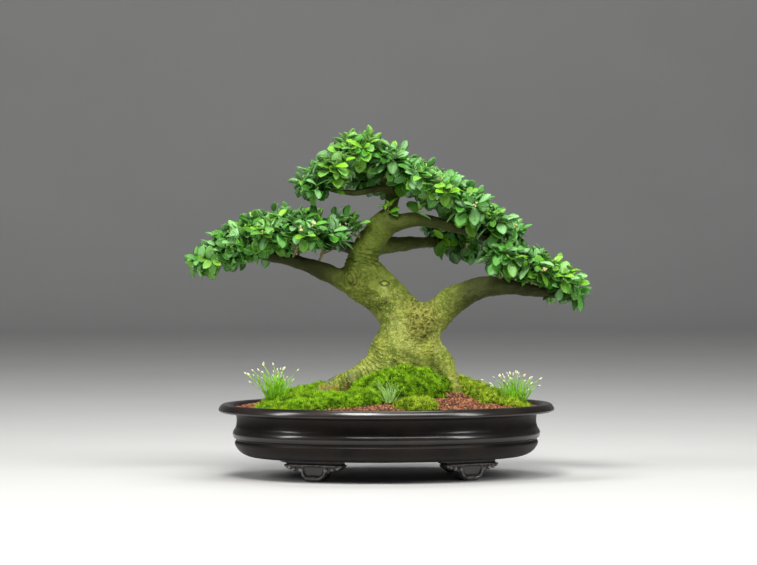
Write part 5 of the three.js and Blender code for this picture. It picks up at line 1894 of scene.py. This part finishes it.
def make_floor(settings):
    """A level floor that bends up into a wall far behind the tree."""
    profile = [(FLOOR_FRONT, 0.0), (FLOOR_BEND, 0.0)]
    for angle in np.linspace(0, math.pi / 2, 17)[1:]:
        profile.append((FLOOR_BEND + BEND_RADIUS * math.sin(angle), BEND_RADIUS * (1 - math.cos(angle))))
    profile.append((FLOOR_BEND + BEND_RADIUS, WALL_TOP))
    points = [(x / MM, y / MM, z / MM) for y, z in profile for x in (-FLOOR_HALF_WIDTH, FLOOR_HALF_WIDTH)]
    faces = [(2 * i, 2 * i + 1, 2 * i + 3, 2 * i + 2) for i in range(len(profile) - 1)]
    floor = mesh_object("studio_floor", points, faces)
    set_smooth(floor.data)
    look = Look("Pale Studio Floor", 0.7)
    look.paint(look.mottle(settings.floor, toned(settings.floor, 0.97), 3.0)[0])
    floor.data.materials.append(look.material)


def make_camera(settings):
    data = bpy.data.cameras.new("camera")
    data.lens = settings.lens
    data.sensor_width = 36
    data.clip_start, data.clip_end = 0.05, 40
    camera = linked("camera", data)
    right = Vector((math.cos(settings.yaw), -math.sin(settings.yaw), 0))
    ahead = Vector((math.sin(settings.yaw), math.cos(settings.yaw), 0))
    camera.location = right * CAMERA_SHIFT - ahead * settings.distance
    camera.location.z = settings.camera_height
    camera.rotation_euler = Euler((math.pi / 2 - settings.pitch, 0, -settings.yaw))
    bpy.context.scene.camera = camera


def make_stage(settings):
    make_floor(settings)
    world = bpy.data.worlds.new("Studio")
    world.use_nodes = True
    back = next(node for node in world.node_tree.nodes if node.type == "BACKGROUND")
    back.inputs["Color"].default_value = (0.9, 0.94, 1, 1)
    back.inputs["Strength"].default_value = 0.09
    bpy.context.scene.world = world
    for name, (place, size, power, tint) in LIGHTS.items():
        area_light(name, place, size, power, tint)
    make_camera(settings)
    bpy.context.scene.view_settings.view_transform = "Standard"


# Operators


class BONSAI_OT_pot(bpy.types.Operator):
    """Build the oval pot with its four bracket feet and drainage holes"""

    bl_idname = "bonsai.pot"
    bl_label = "Pot"

    def execute(self, context):
        make_pot(context.scene.bonsai_pot)
        return {"FINISHED"}


class BONSAI_OT_screens(bpy.types.Operator):
    """Build the plastic screens over the drainage holes"""

    bl_idname = "bonsai.screens"
    bl_label = "Drainage Screens"

    def execute(self, context):
        make_screens(context.scene.bonsai_pot)
        return {"FINISHED"}


class BONSAI_OT_soil(bpy.types.Operator):
    """Build the soil with its granules of baked clay"""

    bl_idname = "bonsai.soil"
    bl_label = "Soil"

    def execute(self, context):
        make_soil(context.scene.bonsai_ground)
        return {"FINISHED"}


class BONSAI_OT_moss(bpy.types.Operator):
    """Build the moss cushions"""

    bl_idname = "bonsai.moss"
    bl_label = "Moss"

    def execute(self, context):
        make_moss(context.scene.bonsai_ground)
        return {"FINISHED"}


class BONSAI_OT_grass(bpy.types.Operator):
    """Build the tufts of grass"""

    bl_idname = "bonsai.grass"
    bl_label = "Grass"

    def execute(self, context):
        make_grass(context.scene.bonsai_ground)
        return {"FINISHED"}


class BONSAI_OT_wood(bpy.types.Operator):
    """Build the trunk, roots and branches"""

    bl_idname = "bonsai.wood"
    bl_label = "Wood"

    def execute(self, context):
        make_wood(context.scene.bonsai_wood)
        return {"FINISHED"}


class BONSAI_OT_foliage(bpy.types.Operator):
    """Build the leafy sprays"""

    bl_idname = "bonsai.foliage"
    bl_label = "Foliage"

    def execute(self, context):
        make_foliage(context.scene.bonsai_foliage)
        return {"FINISHED"}


class BONSAI_OT_stage(bpy.types.Operator):
    """Set up the floor, the lights and the camera"""

    bl_idname = "bonsai.stage"
    bl_label = "Stage"

    def execute(self, context):
        make_stage(context.scene.bonsai_stage)
        return {"FINISHED"}


OPERATORS = (
    BONSAI_OT_pot,
    BONSAI_OT_screens,
    BONSAI_OT_soil,
    BONSAI_OT_moss,
    BONSAI_OT_grass,
    BONSAI_OT_wood,
    BONSAI_OT_foliage,
    BONSAI_OT_stage,
)


class BONSAI_PT_panel(bpy.types.Panel):
    """Lists the pieces of the bonsai"""

    bl_label = "Privet Bonsai"
    bl_idname = "BONSAI_PT_panel"
    bl_space_type = "VIEW_3D"
    bl_region_type = "UI"
    bl_category = "Bonsai"

    def draw(self, context):
        for made in OPERATORS:
            self.layout.operator(made.bl_idname, text=made.bl_label)


def register():
    for made in (*SETTINGS.values(), *OPERATORS, BONSAI_PT_panel):
        bpy.utils.register_class(made)
    for name, made in SETTINGS.items():
        setattr(bpy.types.Scene, name, PointerProperty(type=made))


def unregister():
    for name in SETTINGS:
        delattr(bpy.types.Scene, name)
    for made in (BONSAI_PT_panel, *reversed(OPERATORS), *reversed(SETTINGS.values())):
        bpy.utils.unregister_class(made)


def main():
    register()
    bpy.ops.bonsai.stage()
    bpy.ops.bonsai.pot()
    bpy.ops.bonsai.screens()
    bpy.ops.bonsai.soil()
    bpy.ops.bonsai.moss()
    bpy.ops.bonsai.grass()
    bpy.ops.bonsai.wood()
    bpy.ops.bonsai.foliage()
    bpy.context.view_layer.update()


if __name__ == "__main__":
    main()
